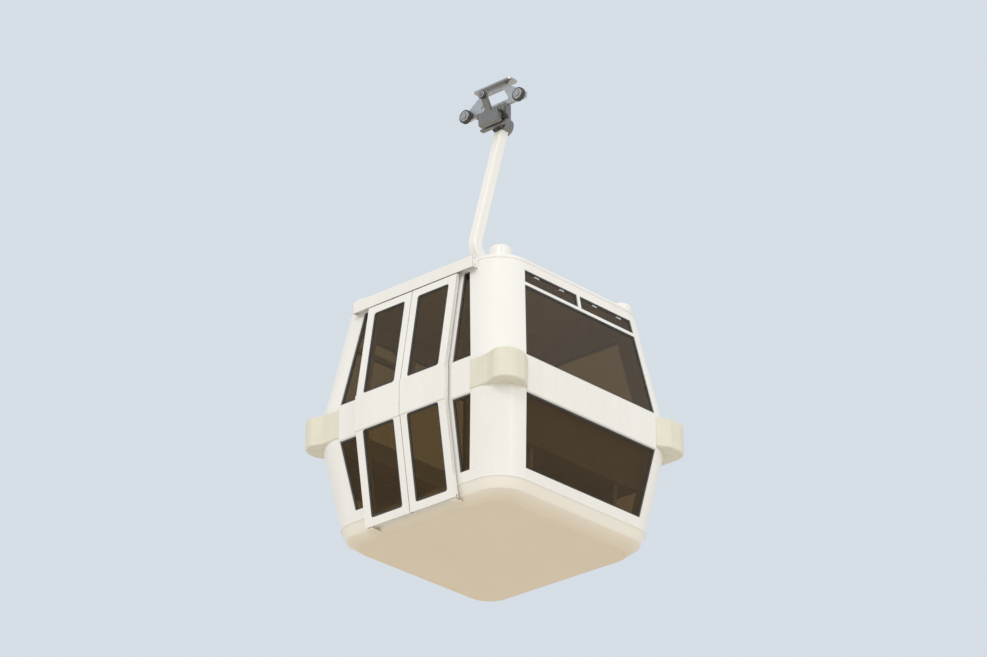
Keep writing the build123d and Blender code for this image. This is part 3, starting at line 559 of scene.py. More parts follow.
def pane_corners(wall, left, right, low, high, proud):
    """Corners of a pane seen from outside, anticlockwise from bottom left. Edges beside the corner posts lean
    in with the walls, and edges at jambs and dividers stand plumb."""
    z = np.array([low, low, high, high])
    across = np.array([left, right, right, left])
    leaning = np.where(np.abs(across) >= SIDE_BAY, np.sign(across), 0.0)
    return on_wall(wall, across - leaning * lean(z), z, proud)


def plane_normal(corners):
    """Outward direction of flat corners that run anticlockwise: the cross product of two sides."""
    return unit(np.cross(corners[1] - corners[0], corners[2] - corners[1]))


# %% One pane's gaskets
# Each point: how far outside the pane's outline, and how far out of its face.
GASKET = [
    (-0.0160, -0.0010), (-0.0150, 0.0030), (-0.0100, 0.0062),
    (-0.0040, 0.0068), (0.0006, 0.0060), (0.0006, -0.0010),
]


def pane_gaskets(outside, inside, radius):
    """Two beads round a pane's outline, one on each face. The inner one has its profile turned over."""
    out_of_pane = plane_normal(outside)
    outer = bead_round(rounded_loop(outside, radius), out_of_pane, GASKET)
    inner = bead_round(rounded_loop(inside, radius), out_of_pane, [(across, -out) for across, out in GASKET])
    return outer, inner


# %% Gaskets round the cabin's fixed panes
DIVIDER_HALF = 0.017
PANE_CORNER = 0.010
PANES = []
for wall in ("front", "rear"):
    PANES.append((wall, -END_BAY, END_BAY, PANE_FOOT, BELT_LOW))
    PANES.append((wall, -END_BAY, END_BAY, BELT_HIGH, VENT_BAR))
    PANES.append((wall, -END_BAY, -DIVIDER_HALF, VENT_FOOT, PANE_TOP))
    PANES.append((wall, DIVIDER_HALF, END_BAY, VENT_FOOT, PANE_TOP))
for low, high in ((PANE_FOOT, BELT_LOW), (BELT_HIGH, PANE_TOP)):
    PANES.append(("back", -SIDE_BAY, SIDE_BAY, low, high))
    PANES.append(("door", -SIDE_BAY, -JAMB_OUTER, low, high))
    PANES.append(("door", JAMB_OUTER, SIDE_BAY, low, high))

outer_beads, inner_beads = [], []
for pane in PANES:
    outside = pane_corners(*pane, -GLASS_INSET)
    inside = pane_corners(*pane, -GLASS_INSET - GLASS_THICKNESS)
    outer, inner = pane_gaskets(outside, inside, PANE_CORNER)
    outer_beads.append(outer)
    inner_beads.append(inner)
new_piece("window_gaskets", outer_beads, "cabin", black_rubber)
new_piece("window_gaskets_inside", inner_beads, "cabin", black_rubber)

# %% Gaskets and meeting seals of the two leaves
LEAF_GLASS_OUT = 0.042
LEAF_GLASS_IN = 0.034
LEAF_PANE_EDGES = (0.071, 0.409)
LEAF_PANE_FOOT = -3.779
LEAF_PANE_TOP = -1.989
LEAF_PANE_CORNER = 0.022
SEAL_HEIGHTS = np.array([-3.841, BELT_LOW, BELT_HIGH, -1.924])
SEAL_ACROSS = 0.0026
SEAL_OUT = 0.033
# Each point: how far towards its own leaf, and how far out of the wall.
SEAL = [
    (0.0002, -0.013), (0.0025, -0.013), (0.0025, 0.013),
    (0.0002, 0.013), (-0.0016, 0.006), (-0.0016, -0.006),
]
for leaf, side in (("left", -1), ("right", 1)):
    beads = []
    left, right = sorted(side * edge for edge in LEAF_PANE_EDGES)
    for low, high in ((LEAF_PANE_FOOT, BELT_LOW), (BELT_HIGH, LEAF_PANE_TOP)):
        outside = on_wall("door", [left, right, right, left], [low, low, high, high], LEAF_GLASS_OUT)
        inside = on_wall("door", [left, right, right, left], [low, low, high, high], LEAF_GLASS_IN)
        beads += pane_gaskets(outside, inside, LEAF_PANE_CORNER)
    new_piece(f"{leaf}_door_gaskets", beads, f"{leaf}_door", black_rubber)
    seal_path = on_wall("door", np.full(4, side * SEAL_ACROSS), SEAL_HEIGHTS, SEAL_OUT)
    seal = strip_along(seal_path, WALLS["door"][1] * side, WALLS["door"][0], SEAL)
    new_piece(f"{leaf}_door_seal", [seal], f"{leaf}_door", black_rubber)

# %% [markdown]
# ## Joints in the shell
#
# Where the roof meets the walls, and where the walls meet the pan, a maker hides the joint under a half-round
# bead. Its path is the wall's plan at that height: a rectangle with corners of 280 mm. A row of rivets beside
# each bead holds the sheets. The door track is an open profile, and a small plate closes each of its ends.

# %% Beads
CORNER_RADIUS = 0.28


def wall_plan(z, steps=24):
    """The wall's plan at height z: a rectangle with rounded corners, anticlockwise from above."""
    across, along = float(wall_x(z)), float(wall_y(z))
    corners = [(-across, -along, z), (across, -along, z), (across, along, z), (-across, along, z)]
    return rounded_loop(corners, CORNER_RADIUS, steps)


ROOF_BEAD = [(-0.002, -0.009), (0.004, -0.007), (0.0065, 0.0), (0.004, 0.007), (-0.002, 0.009)]
SKIRT_BEAD = [(-0.002, -0.006), (0.003, -0.004), (0.0045, 0.0), (0.003, 0.004), (-0.002, 0.006)]
roof_bead = bead_round(wall_plan(WALL_TOP), UP, ROOF_BEAD)
skirt_bead = bead_round(wall_plan(WALL_FOOT), UP, SKIRT_BEAD)
new_piece("roof_bead", [roof_bead], "cabin", white_paint)
new_piece("skirt_bead", [skirt_bead], "cabin", white_paint)

# %% Rivets
RIVET = [(0.0045, -0.0010), (0.0045, 0.0003), (0.0030, 0.0016), (0.0, 0.0020)]
RIVET_GAP = 0.11
RIVET_LOOK_AHEAD = 0.01
ROOF_RIVET_RISE = -0.022
SKIRT_RIVET_RISE = 0.020


def rivets_round(z, rise):
    """Rivets in a level row: the wall's plan at height z, cut into equal steps of about the gap along its
    length, and lifted by the rise. None stand where the leaves slide."""
    path = wall_plan(z)
    closed = np.concatenate([path, path[:1]])
    run = np.concatenate([[0.0], np.cumsum(np.linalg.norm(np.diff(closed, axis=0), axis=1))])
    place = np.linspace(0, run[-1], int(run[-1] / RIVET_GAP), endpoint=False)
    spots = np.stack([np.interp(place, run, closed[:, k]) for k in range(3)], axis=1)
    ahead = np.stack([np.interp(place + RIVET_LOOK_AHEAD, run, closed[:, k]) for k in range(3)], axis=1)
    outward = unit(np.cross(ahead - spots, UP))
    spots = spots + UP * rise
    clear = (spots[:, 1] > 0) | (np.abs(spots[:, 0]) > SIDE_BAY)
    return [turned(RIVET, spot, way, columns=10) for spot, way in zip(spots[clear], outward[clear])]


rivets = rivets_round(WALL_TOP, ROOF_RIVET_RISE) + rivets_round(WALL_FOOT, SKIRT_RIVET_RISE)
new_piece("shell_rivets", rivets, "cabin", white_paint)

# %% Track ends
CAP_SUNK = 0.002
CAP_PROUD = 0.004
CAP_SCREW = 0.009
CAP_SCREW_INSET = 0.020
track_low, track_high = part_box("door_track")
cap_z = np.array([track_low[2], track_low[2], track_high[2], track_high[2]])
cap_y = np.array([-float(wall_y(track_low[2])), track_low[1], track_low[1], -float(wall_y(WALL_TOP))])
cap_profile = np.stack([cap_y, cap_z], axis=1)
end_caps, cap_screws = [], []
for side in (-1, 1):
    face = side * track_high[0]
    ends = [[face - side * CAP_SUNK, 0.0, 0.0], [face + side * CAP_PROUD, 0.0, 0.0]]
    end_caps.append(strip_along(ends, ACROSS, UP, cap_profile))
    screw_y = track_low[1] + CAP_SCREW_INSET
    screw_z = (track_low[2] + CAP_SCREW_INSET, track_high[2] - CAP_SCREW_INSET)
    screws = [[face + side * CAP_PROUD, screw_y, z] for z in screw_z]
    cap_screws += hexagon_heads(screws, side * ALONG_ROPE, CAP_SCREW)
new_piece("track_end_caps", end_caps, "cabin", white_paint)
new_piece("track_end_screws", cap_screws, "cabin", steel)

# %% [markdown]
# ## Corner bumpers
#
# Each pad is moulded in two halves that meet at the corner, and a low rib covers the seam. The rib starts at
# the post, crosses the pad's top, follows its rounded edge, runs down the face, and goes back to the post
# below. So its path lies in the upright plane at 45 degrees: an arc of 90 degrees at the top edge, and one at
# the foot.

# %% Bumper ribs
PAD_FOOT = -3.028
PAD_TOP = -2.772
PAD_ROUND = 0.14
PAD_EDGE = 0.016
RIB_ROOT = -0.03
RIB = [
    (-0.012, -0.0040), (-0.010, 0.0028), (-0.007, 0.0040),
    (0.007, 0.0040), (0.010, 0.0028), (0.012, -0.0040),
]
pad_low, pad_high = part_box("corner_bumpers")
arc = np.linspace(math.pi / 2, 0, 6)
tilt = np.concatenate([arc[:1], arc, -arc[::-1], -arc[:1]])
rib_out = PAD_ROUND - PAD_EDGE + PAD_EDGE * np.cos(tilt)
rib_out[[0, -1]] = RIB_ROOT
rib_z = np.where(np.arange(len(tilt)) < len(tilt) / 2, PAD_TOP - PAD_EDGE, PAD_FOOT + PAD_EDGE)
rib_z = rib_z + PAD_EDGE * np.sin(tilt)
ribs = []
for side_x in (-1, 1):
    for side_y, reach_y in ((-1, -pad_low[1]), (1, pad_high[1])):
        middle = np.array([side_x * (pad_high[0] - PAD_ROUND), side_y * (reach_y - PAD_ROUND), 0.0])
        out = unit([side_x, side_y, 0.0])
        path = middle + out * rib_out[:, None] + UP * rib_z[:, None]
        facing = out * np.cos(tilt)[:, None] + UP * np.sin(tilt)[:, None]
        ribs.append(strip_along(path, np.cross(UP, out), facing, RIB))
new_piece("bumper_ribs", ribs, "cabin", bumper_pad)

# %% [markdown]
# ## Vent latches
#
# The strip over each end window opens for air. Two small latches on each flap catch the light.

# %% Vent latches
LATCH = [(-0.007, 0.0), (-0.007, 0.007), (-0.004, 0.010), (0.004, 0.010), (0.007, 0.007), (0.007, 0.0)]
LATCH_SPOTS = (-0.50, -0.20, 0.20, 0.50)
LATCH_HALF = 0.028
LATCH_HEIGHT = PANE_TOP - 0.026
latches = []
for wall in ("front", "rear"):
    for spot in LATCH_SPOTS:
        ends = on_wall(wall, [spot - LATCH_HALF, spot + LATCH_HALF], LATCH_HEIGHT, -GLASS_INSET)
        latches.append(strip_along(ends, UP, WALLS[wall][0], LATCH))
new_piece("vent_latches", latches, "cabin", aluminium)

# %% [markdown]
# ## Ribs on the floor
#
# The rubber sheet has low ribs along the cabin, so that wet shoes don't slip. Each rib runs until it meets
# the deck's outline, which is a rectangle with rounded corners. Beside a corner the rib is shorter, by what
# the corner's arc takes away there.

# %% Floor ribs
RIB_PITCH = 0.015
RIB_END_GAP = 0.006
DECK_CORNER = 0.231
FLOOR_RIB = [(-0.0045, -0.0010), (-0.0030, 0.0022), (0.0030, 0.0022), (0.0045, -0.0010)]
deck_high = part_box("floor_deck")[1]
rib_pairs = int((deck_high[1] - 2 * RIB_END_GAP) / RIB_PITCH)
rib_y = np.arange(-rib_pairs, rib_pairs + 1) * RIB_PITCH
past_arc = np.maximum(np.abs(rib_y) - (deck_high[1] - DECK_CORNER), 0.0)
rib_reach = deck_high[0] - DECK_CORNER + np.sqrt(DECK_CORNER**2 - past_arc**2) - RIB_END_GAP
floor_ribs = []
for y, reach in zip(rib_y, rib_reach):
    run = [[-reach, y, deck_high[2]], [reach, y, deck_high[2]]]
    floor_ribs.append(strip_along(run, ACROSS, UP, FLOOR_RIB))
new_piece("floor_ribs", floor_ribs, "cabin", deck_rubber)

# %% [markdown]
# ## Roof suspension and hanger arm
#
# The frame on the roof stands on four rubber buffers. The model has plain cylinders there, so turned shapes
# replace them: a steel plate, a rubber body that bulges under its load, and a steel plate on top. The arm is
# welded to its foot, and the foot is bolted to the frame.

# %% Buffers
ROOF_TOP = -1.735
BUFFER_X = 0.330
BUFFER_Y = 0.240
RUBBER_FOOT = 0.006
RUBBER_TOP = 0.039
RUBBER_RADIUS = 0.041
RUBBER_BULGE = 0.006
PLATE = [(0.0, 0.0), (0.047, 0.0), (0.048, 0.001), (0.048, 0.005), (0.047, 0.006), (0.0, 0.006)]
# On its way up the rubber is wider by the bulge times the sine of half a turn.
share = np.linspace(0, 1, 12)
rubber_z = RUBBER_FOOT + share * (RUBBER_TOP - RUBBER_FOOT)
rubber_radius = RUBBER_RADIUS + RUBBER_BULGE * np.sin(share * math.pi)
rubber_body = [(0.0, RUBBER_FOOT), *zip(rubber_radius, rubber_z), (0.0, RUBBER_TOP)]
buffers, plates = [], []
buffer_spots = [(x, y) for x in (-BUFFER_X, BUFFER_X) for y in (-BUFFER_Y, BUFFER_Y)]
for x, y in buffer_spots:
    buffers.append(turned(rubber_body, (x, y, ROOF_TOP), UP))
    plates.append(turned(PLATE, (x, y, ROOF_TOP), UP))
    plates.append(turned(PLATE, (x, y, ROOF_TOP + RUBBER_TOP), UP))
buffer_rubber = new_piece("buffer_rubber", buffers, "cabin", black_rubber)
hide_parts("roof_dampers")
new_piece("buffer_plates", plates, "cabin", steel)

# %% Bolts and weld of the suspension
RAIL_TOP = -1.630
FOOT_TOP = -1.610
RAIL_BOLT = 0.030
FOOT_BOLT = 0.026
FOOT_BOLT_SPOT = 0.086
ARM_HALF_X = 0.042
ARM_HALF_Y = 0.048
ARM_CORNER = 0.018
WELD = [(-0.002, 0.0), (0.010, 0.0), (0.0075, 0.004), (0.004, 0.0075), (-0.002, 0.010)]
# The four corners of a plan, anticlockwise from above.
SQUARE = ((-1, -1), (1, -1), (1, 1), (-1, 1))
rail_bolts = hexagon_heads([(x, y, RAIL_TOP) for x, y in buffer_spots], UP, RAIL_BOLT)
foot_spots = [(i * FOOT_BOLT_SPOT, j * FOOT_BOLT_SPOT, FOOT_TOP) for i, j in SQUARE]
foot_bolts = hexagon_heads(foot_spots, UP, FOOT_BOLT)
new_piece("suspension_bolts", rail_bolts + foot_bolts, "cabin", steel)
arm_corners = [(i * ARM_HALF_X, j * ARM_HALF_Y, FOOT_TOP) for i, j in SQUARE]
arm_foot = rounded_loop(arm_corners, ARM_CORNER, steps=8)
new_piece("arm_weld", [bead_round(arm_foot, UP, WELD)], "cabin", white_paint)

# %% [markdown]
# ## Hub, rollers and springs
#
# The hub turns on the grip's shaft, and eight small bolts hold its cover. Each roller is a rubber tyre on a
# machined wheel: a ring and a few bolts show the wheel, and let the eye see that it turns. The springs that
# close the jaw are real coils here: a tube carried along a helix, which goes round at a constant rate as it
# advances.

# %% Hub cover bolts
HUB_BACK = 0.170
HUB_BOLTS = 8
HUB_BOLT = 0.012
HUB_BOLT_RADIUS = 0.0655
hub_circle = circle(HUB_BOLTS, ALONG_ROPE, UP, math.pi / HUB_BOLTS)
hub_bolts = hexagon_heads(ACROSS * HUB_BACK + HUB_BOLT_RADIUS * hub_circle, ACROSS, HUB_BOLT)
new_piece("hub_cover_bolts", hub_bolts, "cabin", steel)

# %% Wheels of the rollers
RING_SUNK = 0.001
RING_PROUD = 0.0015
RING_CHAMFER = 0.002


def wheel(node, inner, outer, bolts, size):
    """Ring between two radii on the roller's front face, with bolts evenly round it, on the roller's body."""
    low, high = (np.array(corner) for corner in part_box(node))
    face = (low + high) / 2
    face[1] = low[1]
    section = [(inner, -RING_SUNK), (inner, RING_PROUD), (outer - RING_CHAMFER, RING_PROUD)]
    section += [(outer, 0.0), (outer, -RING_SUNK), (inner, -RING_SUNK)]
    spots = face - ACROSS * RING_PROUD + (inner + outer) / 2 * circle(bolts, ALONG_ROPE, UP)
    parts = [turned(section, face, -ACROSS)] + hexagon_heads(spots, -ACROSS, size)
    new_piece(f"{node}_wheel", parts, f"{node}_body", steel)


wheel("front_roller", inner=0.0250, outer=0.0470, bolts=5, size=0.010)
wheel("rear_roller", inner=0.0250, outer=0.0470, bolts=5, size=0.010)
wheel("lever_roller", inner=0.0175, outer=0.0290, bolts=4, size=0.006)

# %% Coil springs of the jaw
def coil(start, axis, radius, length, turns, wire, steps=40, sides=8):
    """Tube along a helix: the helix point, plus the wire's radius times cos on the way out and sin on the way
    across, where across is square to both the way out and the helix's own direction."""
    axis, beside, other = square_to(axis)
    share = np.linspace(0, 1, int(turns * steps) + 1)
    turn = share * turns * 2 * math.pi
    out = np.cos(turn)[:, None] * beside + np.sin(turn)[:, None] * other
    centre = np.asarray(start, float) + out * radius + axis * (share * length)[:, None]
    across = np.cross(unit(np.gradient(centre, axis=0)), out)
    ring = (np.arange(sides) * 2 * math.pi / sides)[None, :, None]
    points = centre[:, None] + wire * (np.cos(ring) * out[:, None] + np.sin(ring) * across[:, None])
    faces = grid_faces(len(share), sides, close_columns=True) + end_faces(len(share), sides)
    return points.reshape(-1, 3), faces


# Turned profiles: radius, and distance from the end of the pack.
CUP = [(0.0, 0.0), (0.029, 0.0), (0.030, 0.001), (0.030, 0.009), (0.027, 0.010), (0.0, 0.010)]
LID = [
    (0.0, 0.058), (0.029, 0.058), (0.030, 0.059), (0.030, 0.064),
    (0.027, 0.067), (0.010, 0.067), (0.009, 0.070), (0.0, 0.070),
]
ROD = [(0.0, 0.009), (0.007, 0.009), (0.007, 0.060), (0.0, 0.060)]
SPRING_X = 0.070
COIL_START = 0.013
COIL = {"radius": 0.0235, "length": 0.042, "turns": 4.5, "wire": 0.004}
spring_low, spring_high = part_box("spring_pack")
spring_z = (spring_low[2] + spring_high[2]) / 2
coils, cups = [], []
for x in (-SPRING_X, SPRING_X):
    start = np.array([x, spring_low[1], spring_z])
    coils.append(coil(start + COIL_START * ACROSS, ACROSS, **COIL))
    cups += [turned(section, start, ACROSS) for section in (CUP, LID, ROD)]
jaw_springs = new_piece("jaw_springs", coils, "grip", steel)
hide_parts("spring_pack")
new_piece("jaw_spring_cups", cups, "grip", cast_steel)

# %% Bolts of the carriage arch
ARCH_FRONT = 0.014
ARCH_BOLT = 0.020
ARCH_BOLT_Z = 0.143
ARCH_BOLT_X = (-0.115, -0.062, 0.062, 0.115)
arch_bolts = hexagon_heads([(x, ARCH_FRONT, ARCH_BOLT_Z) for x in ARCH_BOLT_X], -ACROSS, ARCH_BOLT)
new_piece("arch_bolts", arch_bolts, "grip", steel)

# %% [markdown]
# ## Benches
#
# A bench along each end seats four. Its shell is one moulding 12 mm thick: seat and backrest are a single
# bent section carried across the cabin, and the seat's front corners are rounded in plan. The model's own
# solids are as thick as shell and pads together, so the shell keeps to their outer side and leaves the rest
# to the pads.

# %% Bench shells
seat_low, seat_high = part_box("front_bench_seat")
back_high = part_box("front_bench_back")[1]
SHELL_THICKNESS = 0.012
SHELL_EDGE = 0.004
BACK_BEND = -2.960
SEAT_CORNER = 0.040
shell_top = seat_low[2] + SHELL_THICKNESS
back_slope = (back_high[0] - seat_high[0]) / (BACK_BEND - seat_high[2])


def shell_section(front):
    """Section of the shell as (x, z) points: under the seat, up behind the backrest, back down its inside."""
    rear, back = seat_high[0], back_high[0]
    under, crest = seat_low[2], back_high[2]
    inner_rear, inner_back = rear - SHELL_THICKNESS, back - SHELL_THICKNESS
    outside = [(front + SHELL_EDGE, under), (rear - SHELL_EDGE, under), (rear, under + SHELL_EDGE)]
    outside += [(rear, seat_high[2]), (back, BACK_BEND), (back, crest - SHELL_EDGE)]
    edge = [(back - SHELL_EDGE, crest), (inner_back + SHELL_EDGE, crest), (inner_back, crest - SHELL_EDGE)]
    inside = [(inner_back, BACK_BEND), (inner_rear, seat_high[2])]
    inside.append((inner_rear - SHELL_EDGE, shell_top + 2 * SHELL_EDGE))
    inside.append((inner_rear - 3 * SHELL_EDGE, shell_top))
    nose = [(front + SHELL_EDGE, shell_top), (front, shell_top - SHELL_EDGE), (front, under + SHELL_EDGE)]
    return np.array(outside + edge + inside + nose)


quarter = np.linspace(0, math.pi / 2, 7)
station_y = seat_high[1] - SEAT_CORNER + SEAT_CORNER * np.sin(quarter)
station_front = seat_low[0] + SEAT_CORNER * (1 - np.cos(quarter))
station_y = np.concatenate([-station_y[::-1], station_y])
station_front = np.concatenate([station_front[::-1], station_front])
sections = np.stack([shell_section(front) for front in station_front])
stations, section_points = sections.shape[:2]
shell_y = np.broadcast_to(station_y[:, None], (stations, section_points))
shell_points = np.stack([sections[..., 0], shell_y, sections[..., 1]], axis=-1).reshape(-1, 3)
shell_faces = grid_faces(stations, section_points, close_columns=True)
shell_faces += end_faces(stations, section_points)
# The rear bench is the front one after half a turn about the cabin's middle.
TURN_OF_END = {"front": np.ones(3), "rear": np.array([-1.0, -1.0, 1.0])}
for end, turn in TURN_OF_END.items():
    shell_parts = [(shell_points * turn, shell_faces)]
    shell = new_piece(f"{end}_bench_shell", shell_parts, "cabin", bench_shell)
    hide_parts(f"{end}_bench_seat", f"{end}_bench_back")

# %% [markdown]
# ### Pads
#
# Each seat has a thin foam pad under vinyl, sewn from two panels with a cord in the seam, and two channels
# cross it. A box with rounded edges would look hard. So one pad of each kind is sewn flat, blown up as cloth
# with a little air, and pressed flat again where it rests on the shell. Every seat then gets a copy. The
# channels come last, because the cloth would iron them out.

# %% Vinyl for the pads
def vinyl(name, colour, worn):
    """Upholstery vinyl: a leather grain of small cells, and paler where people sit."""
    material, tree, shader, place = finish_tree(name)
    cells = tree.nodes.new("ShaderNodeTexVoronoi")
    cells.inputs["Scale"].default_value = 420.0
    tree.links.new(place, cells.inputs["Vector"])
    wear = between(tree, noise(tree, place, 5.0, detail=5.0), 0.0, 1.0, from_low=0.42, from_high=0.68)
    colour_between(tree, shader, wear, colour, worn)
    roughness_between(tree, shader, noise(tree, place, 16.0), 0.40, 0.56)
    relief(tree, shader, cells.outputs["Distance"], strength=0.35, distance=0.0008)
    return material


pad_vinyl = vinyl("pad_vinyl", (0.30, 0.255, 0.20), (0.36, 0.31, 0.25))
pad_cord = vinyl("pad_cord", (0.10, 0.085, 0.068), (0.13, 0.11, 0.09))

# %% The pad as it is sewn
# The channels' places and width are shares of half the pad's length.
CHANNELS = (-1 / 3, 1 / 3)
CHANNEL_WIDTH = 0.022
beside_channels = [place + step for place in CHANNELS for step in (-CHANNEL_WIDTH, CHANNEL_WIDTH)]
PAD_ROWS = np.unique(np.round(np.concatenate([np.linspace(-1, 1, 31), beside_channels]), 6))
PAD_COLUMNS = np.linspace(-1, 1, 31)
SIDE_PULL = 0.018
CORNER_PULL = 0.045
SEAM_HEIGHT = 0.45


def sewn_pad(length, width, thickness):
    """Two panels that share their edge, for u and v from -1 to 1. Sides pull in between the corners: x is
    half the length times u, less a share that is largest where v is 0, and y likewise. The panels part by the
    thickness times a dome that is nearly flat in the middle and falls to nothing at the seam."""
    u, v = np.meshgrid(PAD_ROWS, PAD_COLUMNS, indexing="ij")
    corner = 1 - CORNER_PULL * np.abs(u * v) ** 10
    x = length / 2 * u * (1 - SIDE_PULL * (1 - v**2)) * corner
    y = width / 2 * v * (1 - SIDE_PULL * (1 - u**2)) * corner
    dome = ((1 - u**6) * (1 - v**6)) ** 0.45
    seam = SEAM_HEIGHT * thickness
    upper = np.stack([x, y, seam + (thickness - seam) * dome], axis=-1)
    lower = np.stack([x, y, seam - seam * dome], axis=-1)
    return np.concatenate([upper.reshape(-1, 3), lower[1:-1, 1:-1].reshape(-1, 3)])


upper_index = np.arange(len(PAD_ROWS) * len(PAD_COLUMNS)).reshape(len(PAD_ROWS), len(PAD_COLUMNS))
lower_index = upper_index.copy()
inner_shape = (len(PAD_ROWS) - 2, len(PAD_COLUMNS) - 2)
lower_index[1:-1, 1:-1] = upper_index.size + np.arange(inner_shape[0] * inner_shape[1]).reshape(inner_shape)
seam_index = np.concatenate([
    upper_index[0, :-1], upper_index[:-1, -1], upper_index[-1, :0:-1], upper_index[:0:-1, 0]
])
pad_faces = []
for index in (upper_index, lower_index[:, ::-1]):
    quads = np.stack([index[:-1, :-1], index[1:, :-1], index[1:, 1:], index[:-1, 1:]], axis=-1)
    pad_faces += quads.reshape(-1, 4).tolist()
print(len(pad_faces), "faces in a pad")

# %% Air in the pad
SWELL = 0.006
SWELL_STEPS = 20


def blown_up(points, thickness):
    """The sewn pad as cloth with air in it. No point moves further than the swell, and none leaves the
    space between the shell and the pad's full thickness."""
    mesh = bpy.data.meshes.new("pad_cloth")
    mesh.from_pydata(points.tolist(), [], pad_faces)
    cloth_piece = bpy.data.objects.new("pad_cloth", mesh)
    bpy.context.scene.collection.objects.link(cloth_piece)
    cloth = cloth_piece.modifiers.new("cloth", "CLOTH")
    cloth.settings.quality = 6
    cloth.settings.mass = 0.3
    cloth.settings.bending_stiffness = 0.4
    cloth.settings.use_pressure = True
    cloth.settings.uniform_pressure_force = 4.0
    cloth.settings.effector_weights.gravity = 0.0
    cloth.point_cache.frame_end = SWELL_STEPS
    for step in range(1, SWELL_STEPS + 1):
        bpy.context.scene.frame_set(step)
    swollen = np.empty(points.size)
    evaluated = cloth_piece.evaluated_get(bpy.context.evaluated_depsgraph_get())
    evaluated.data.vertices.foreach_get("co", swollen)
    bpy.data.objects.remove(cloth_piece)
    bpy.context.scene.frame_set(1)
    moved = swollen.reshape(-1, 3) - points
    far = np.linalg.norm(moved, axis=1, keepdims=True)
    print("pad swells by up to", round(float(far.max()) * 1000, 1), "mm")
    puffed = points + moved * np.minimum(1.0, SWELL / np.maximum(far, 1e-9))
    puffed[:, 2] = np.clip(puffed[:, 2], 0.0, thickness)
    return puffed


def channelled(points, length, depth):
    """Two sewn channels across the upper panel. Each is a dip: the depth times e to the power of minus the
    square of the distance from its line, counted in channel widths. The seam stays where it is."""
    u = points[:, 0] / (length / 2)
    dips = sum(np.exp(-(((u - place) / CHANNEL_WIDTH) ** 2)) for place in CHANNELS)
    upper = np.arange(len(points)) < upper_index.size
    edge = np.isin(np.arange(len(points)), seam_index)
    sunk = points.copy()
    sunk[:, 2] -= depth * dips * (upper & ~edge)
    return sunk


# %% Pads on the benches
SEATS = (-0.555, -0.185, 0.185, 0.555)
PAD_WIDTH = 0.354
SEAT_PAD = {"length": 0.384, "thickness": 0.028}
BACK_PAD = {"length": 0.360, "thickness": 0.018}
SEWN_SHARE = 0.82
CHANNEL_DEPTH = 0.005
CORD_RADIUS = 0.0022
CORD = CORD_RADIUS * circle(8, [1.0, 0.0], [0.0, 1.0])
SEAT_MIDDLE = 0.679
BACK_MIDDLE = -3.155
back_face = seat_high[0] - SHELL_THICKNESS + back_slope * (BACK_MIDDLE - seat_high[2])
# A pad's size, the middle of its underside, and the way that its length runs.
PAD_PLACES = {
    "seat": (SEAT_PAD, np.array([SEAT_MIDDLE, 0.0, shell_top]), ALONG_ROPE),
    "back": (BACK_PAD, np.array([back_face, 0.0, BACK_MIDDLE]), unit([back_slope, 0.0, 1.0])),
}
for kind, (size, middle, along) in PAD_PLACES.items():
    sewn = sewn_pad(size["length"], PAD_WIDTH, size["thickness"] * SEWN_SHARE)
    pad = channelled(blown_up(sewn, size["thickness"]), size["length"], CHANNEL_DEPTH)
    outward = np.cross(along, ACROSS)
    lying = pad[:, :1] * along + pad[:, 1:2] * ACROSS + pad[:, 2:] * outward + middle
    for end, turn in TURN_OF_END.items():
        cords = []
        for number, seat in enumerate(SEATS, 1):
            points = (lying + seat * ACROSS) * turn
            name = f"{end}_{kind}_pad_{number}"
            cushion = new_piece(name, [(points, pad_faces)], "cabin", pad_vinyl)
            finer = cushion.modifiers.new("finer", "SUBSURF")
            finer.levels = finer.render_levels = 1
            cords.append(bead_round(points[seam_index], outward * turn, CORD))
        new_piece(f"{end}_{kind}_pad_cords", cords, "cabin", pad_cord)

# %% [markdown]
# ## Stage, light and camera
#
# The studio is plain: a pale floor far below, an even pale sky and two soft suns. The photograph was taken
# from below, so the camera stands on the floor, looks up at the cabin, and uses a long lens from the same
# distance, which keeps the photograph's flat perspective.

# %% Stage
FLOOR_LEVEL = -16.20
FLOOR_RADII = (0.0, 30.0, 240.0)
FLOOR_TONE = (0.78, 0.745, 0.69)


def paper(name, colour):
    """Matt backdrop paper with a barely uneven tone. Its back is clear, so a camera under it sees through."""
    material, tree, shader, place = finish_tree(name)
    tone = between(tree, noise(tree, place, 0.4), 0.0, 1.0)
    colour_between(tree, shader, tone, colour, shade(colour, 0.97))
    shader.inputs["Roughness"].default_value = 0.9
    side = tree.nodes.new("ShaderNodeNewGeometry")
    clear = tree.nodes.new("ShaderNodeBsdfTransparent")
    front_or_back = tree.nodes.new("ShaderNodeMixShader")
    tree.links.new(side.outputs["Backfacing"], front_or_back.inputs[0])
    tree.links.new(shader.outputs[0], front_or_back.inputs[1])
    tree.links.new(clear.outputs[0], front_or_back.inputs[2])
    tree.links.new(front_or_back.outputs[0], tree.nodes["Material Output"].inputs["Surface"])
    return material


floor_finish = paper("studio_floor", FLOOR_TONE)
floor_disc = turned([(radius, 0.0) for radius in FLOOR_RADII], (0.0, 0.0, FLOOR_LEVEL), UP, columns=64)
studio_floor = new_piece("studio_floor", [floor_disc], None, floor_finish, stage=True)
if studio_floor.data.polygons[0].normal.z < 0:
    studio_floor.data.flip_normals()
print("floor faces up:", studio_floor.data.polygons[0].normal.z > 0)

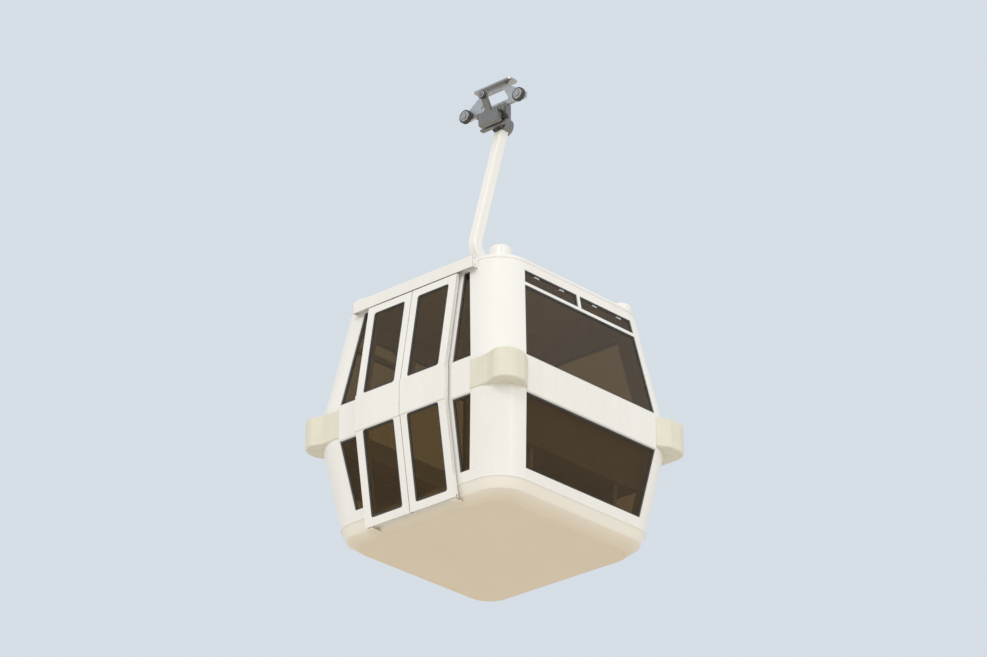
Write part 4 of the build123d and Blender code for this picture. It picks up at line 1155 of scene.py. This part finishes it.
# %% Light
SKY_LIGHT = 0.87
SKY_TONE = (1.0, 0.985, 0.955)
STUDIO_TONE = (0.67, 0.73, 0.79)
world = bpy.data.worlds.new("studio")
bpy.context.scene.world = world
world.use_nodes = True
tree = world.node_tree
tree.nodes.clear()
light_path = tree.nodes.new("ShaderNodeLightPath")
seen = light_path.outputs["Is Camera Ray"]
for ray in ("Is Glossy Ray", "Is Transmission Ray"):
    either = tree.nodes.new("ShaderNodeMath")
    either.operation = "MAXIMUM"
    tree.links.new(seen, either.inputs[0])
    tree.links.new(light_path.outputs[ray], either.inputs[1])
    seen = either.outputs[0]
skies = []
for strength, colour in [(SKY_LIGHT, SKY_TONE), (1.0, STUDIO_TONE)]:
    sky = tree.nodes.new("ShaderNodeBackground")
    sky.inputs["Color"].default_value = (*colour, 1.0)
    sky.inputs["Strength"].default_value = strength
    skies.append(sky)
choose = tree.nodes.new("ShaderNodeMixShader")
world_output = tree.nodes.new("ShaderNodeOutputWorld")
tree.links.new(seen, choose.inputs[0])
tree.links.new(skies[0].outputs[0], choose.inputs[1])
tree.links.new(skies[1].outputs[0], choose.inputs[2])
tree.links.new(choose.outputs[0], world_output.inputs["Surface"])


def soft_sun(name, towards, strength, softness, colour):
    """Sun lamp that shines along a direction, with soft shadow edges."""
    lamp = bpy.data.lights.new(name, "SUN")
    lamp.energy = strength
    lamp.angle = math.radians(softness)
    lamp.color = colour
    sun = bpy.data.objects.new(name, lamp)
    bpy.context.scene.collection.objects.link(sun)
    sun.rotation_mode = "QUATERNION"
    sun.rotation_quaternion = Vector(towards).to_track_quat("-Z", "Y")


soft_sun("key_sun", (-0.35, 0.78, -0.50), strength=0.62, softness=18, colour=(1.0, 0.985, 0.96))
soft_sun("fill_sun", (-0.92, 0.25, -0.25), strength=0.36, softness=30, colour=(1.0, 0.99, 0.97))

# %% Camera
EYE = Vector((20.373, -22.379, -16.129))
AIM = Vector((0.02, -0.02, -1.93))
LENS = 149.0
SENSOR = 36.0
CLIP_END = 500.0
camera = bpy.data.objects.new("camera", bpy.data.cameras.new("camera"))
bpy.context.scene.collection.objects.link(camera)
camera.location = EYE
camera.rotation_mode = "QUATERNION"
camera.rotation_quaternion = (AIM - EYE).to_track_quat("-Z", "Y")
camera.data.lens = LENS
camera.data.sensor_width = SENSOR
camera.data.clip_end = CLIP_END
bpy.context.scene.camera = camera
bpy.context.scene.view_settings.view_transform = "Standard"
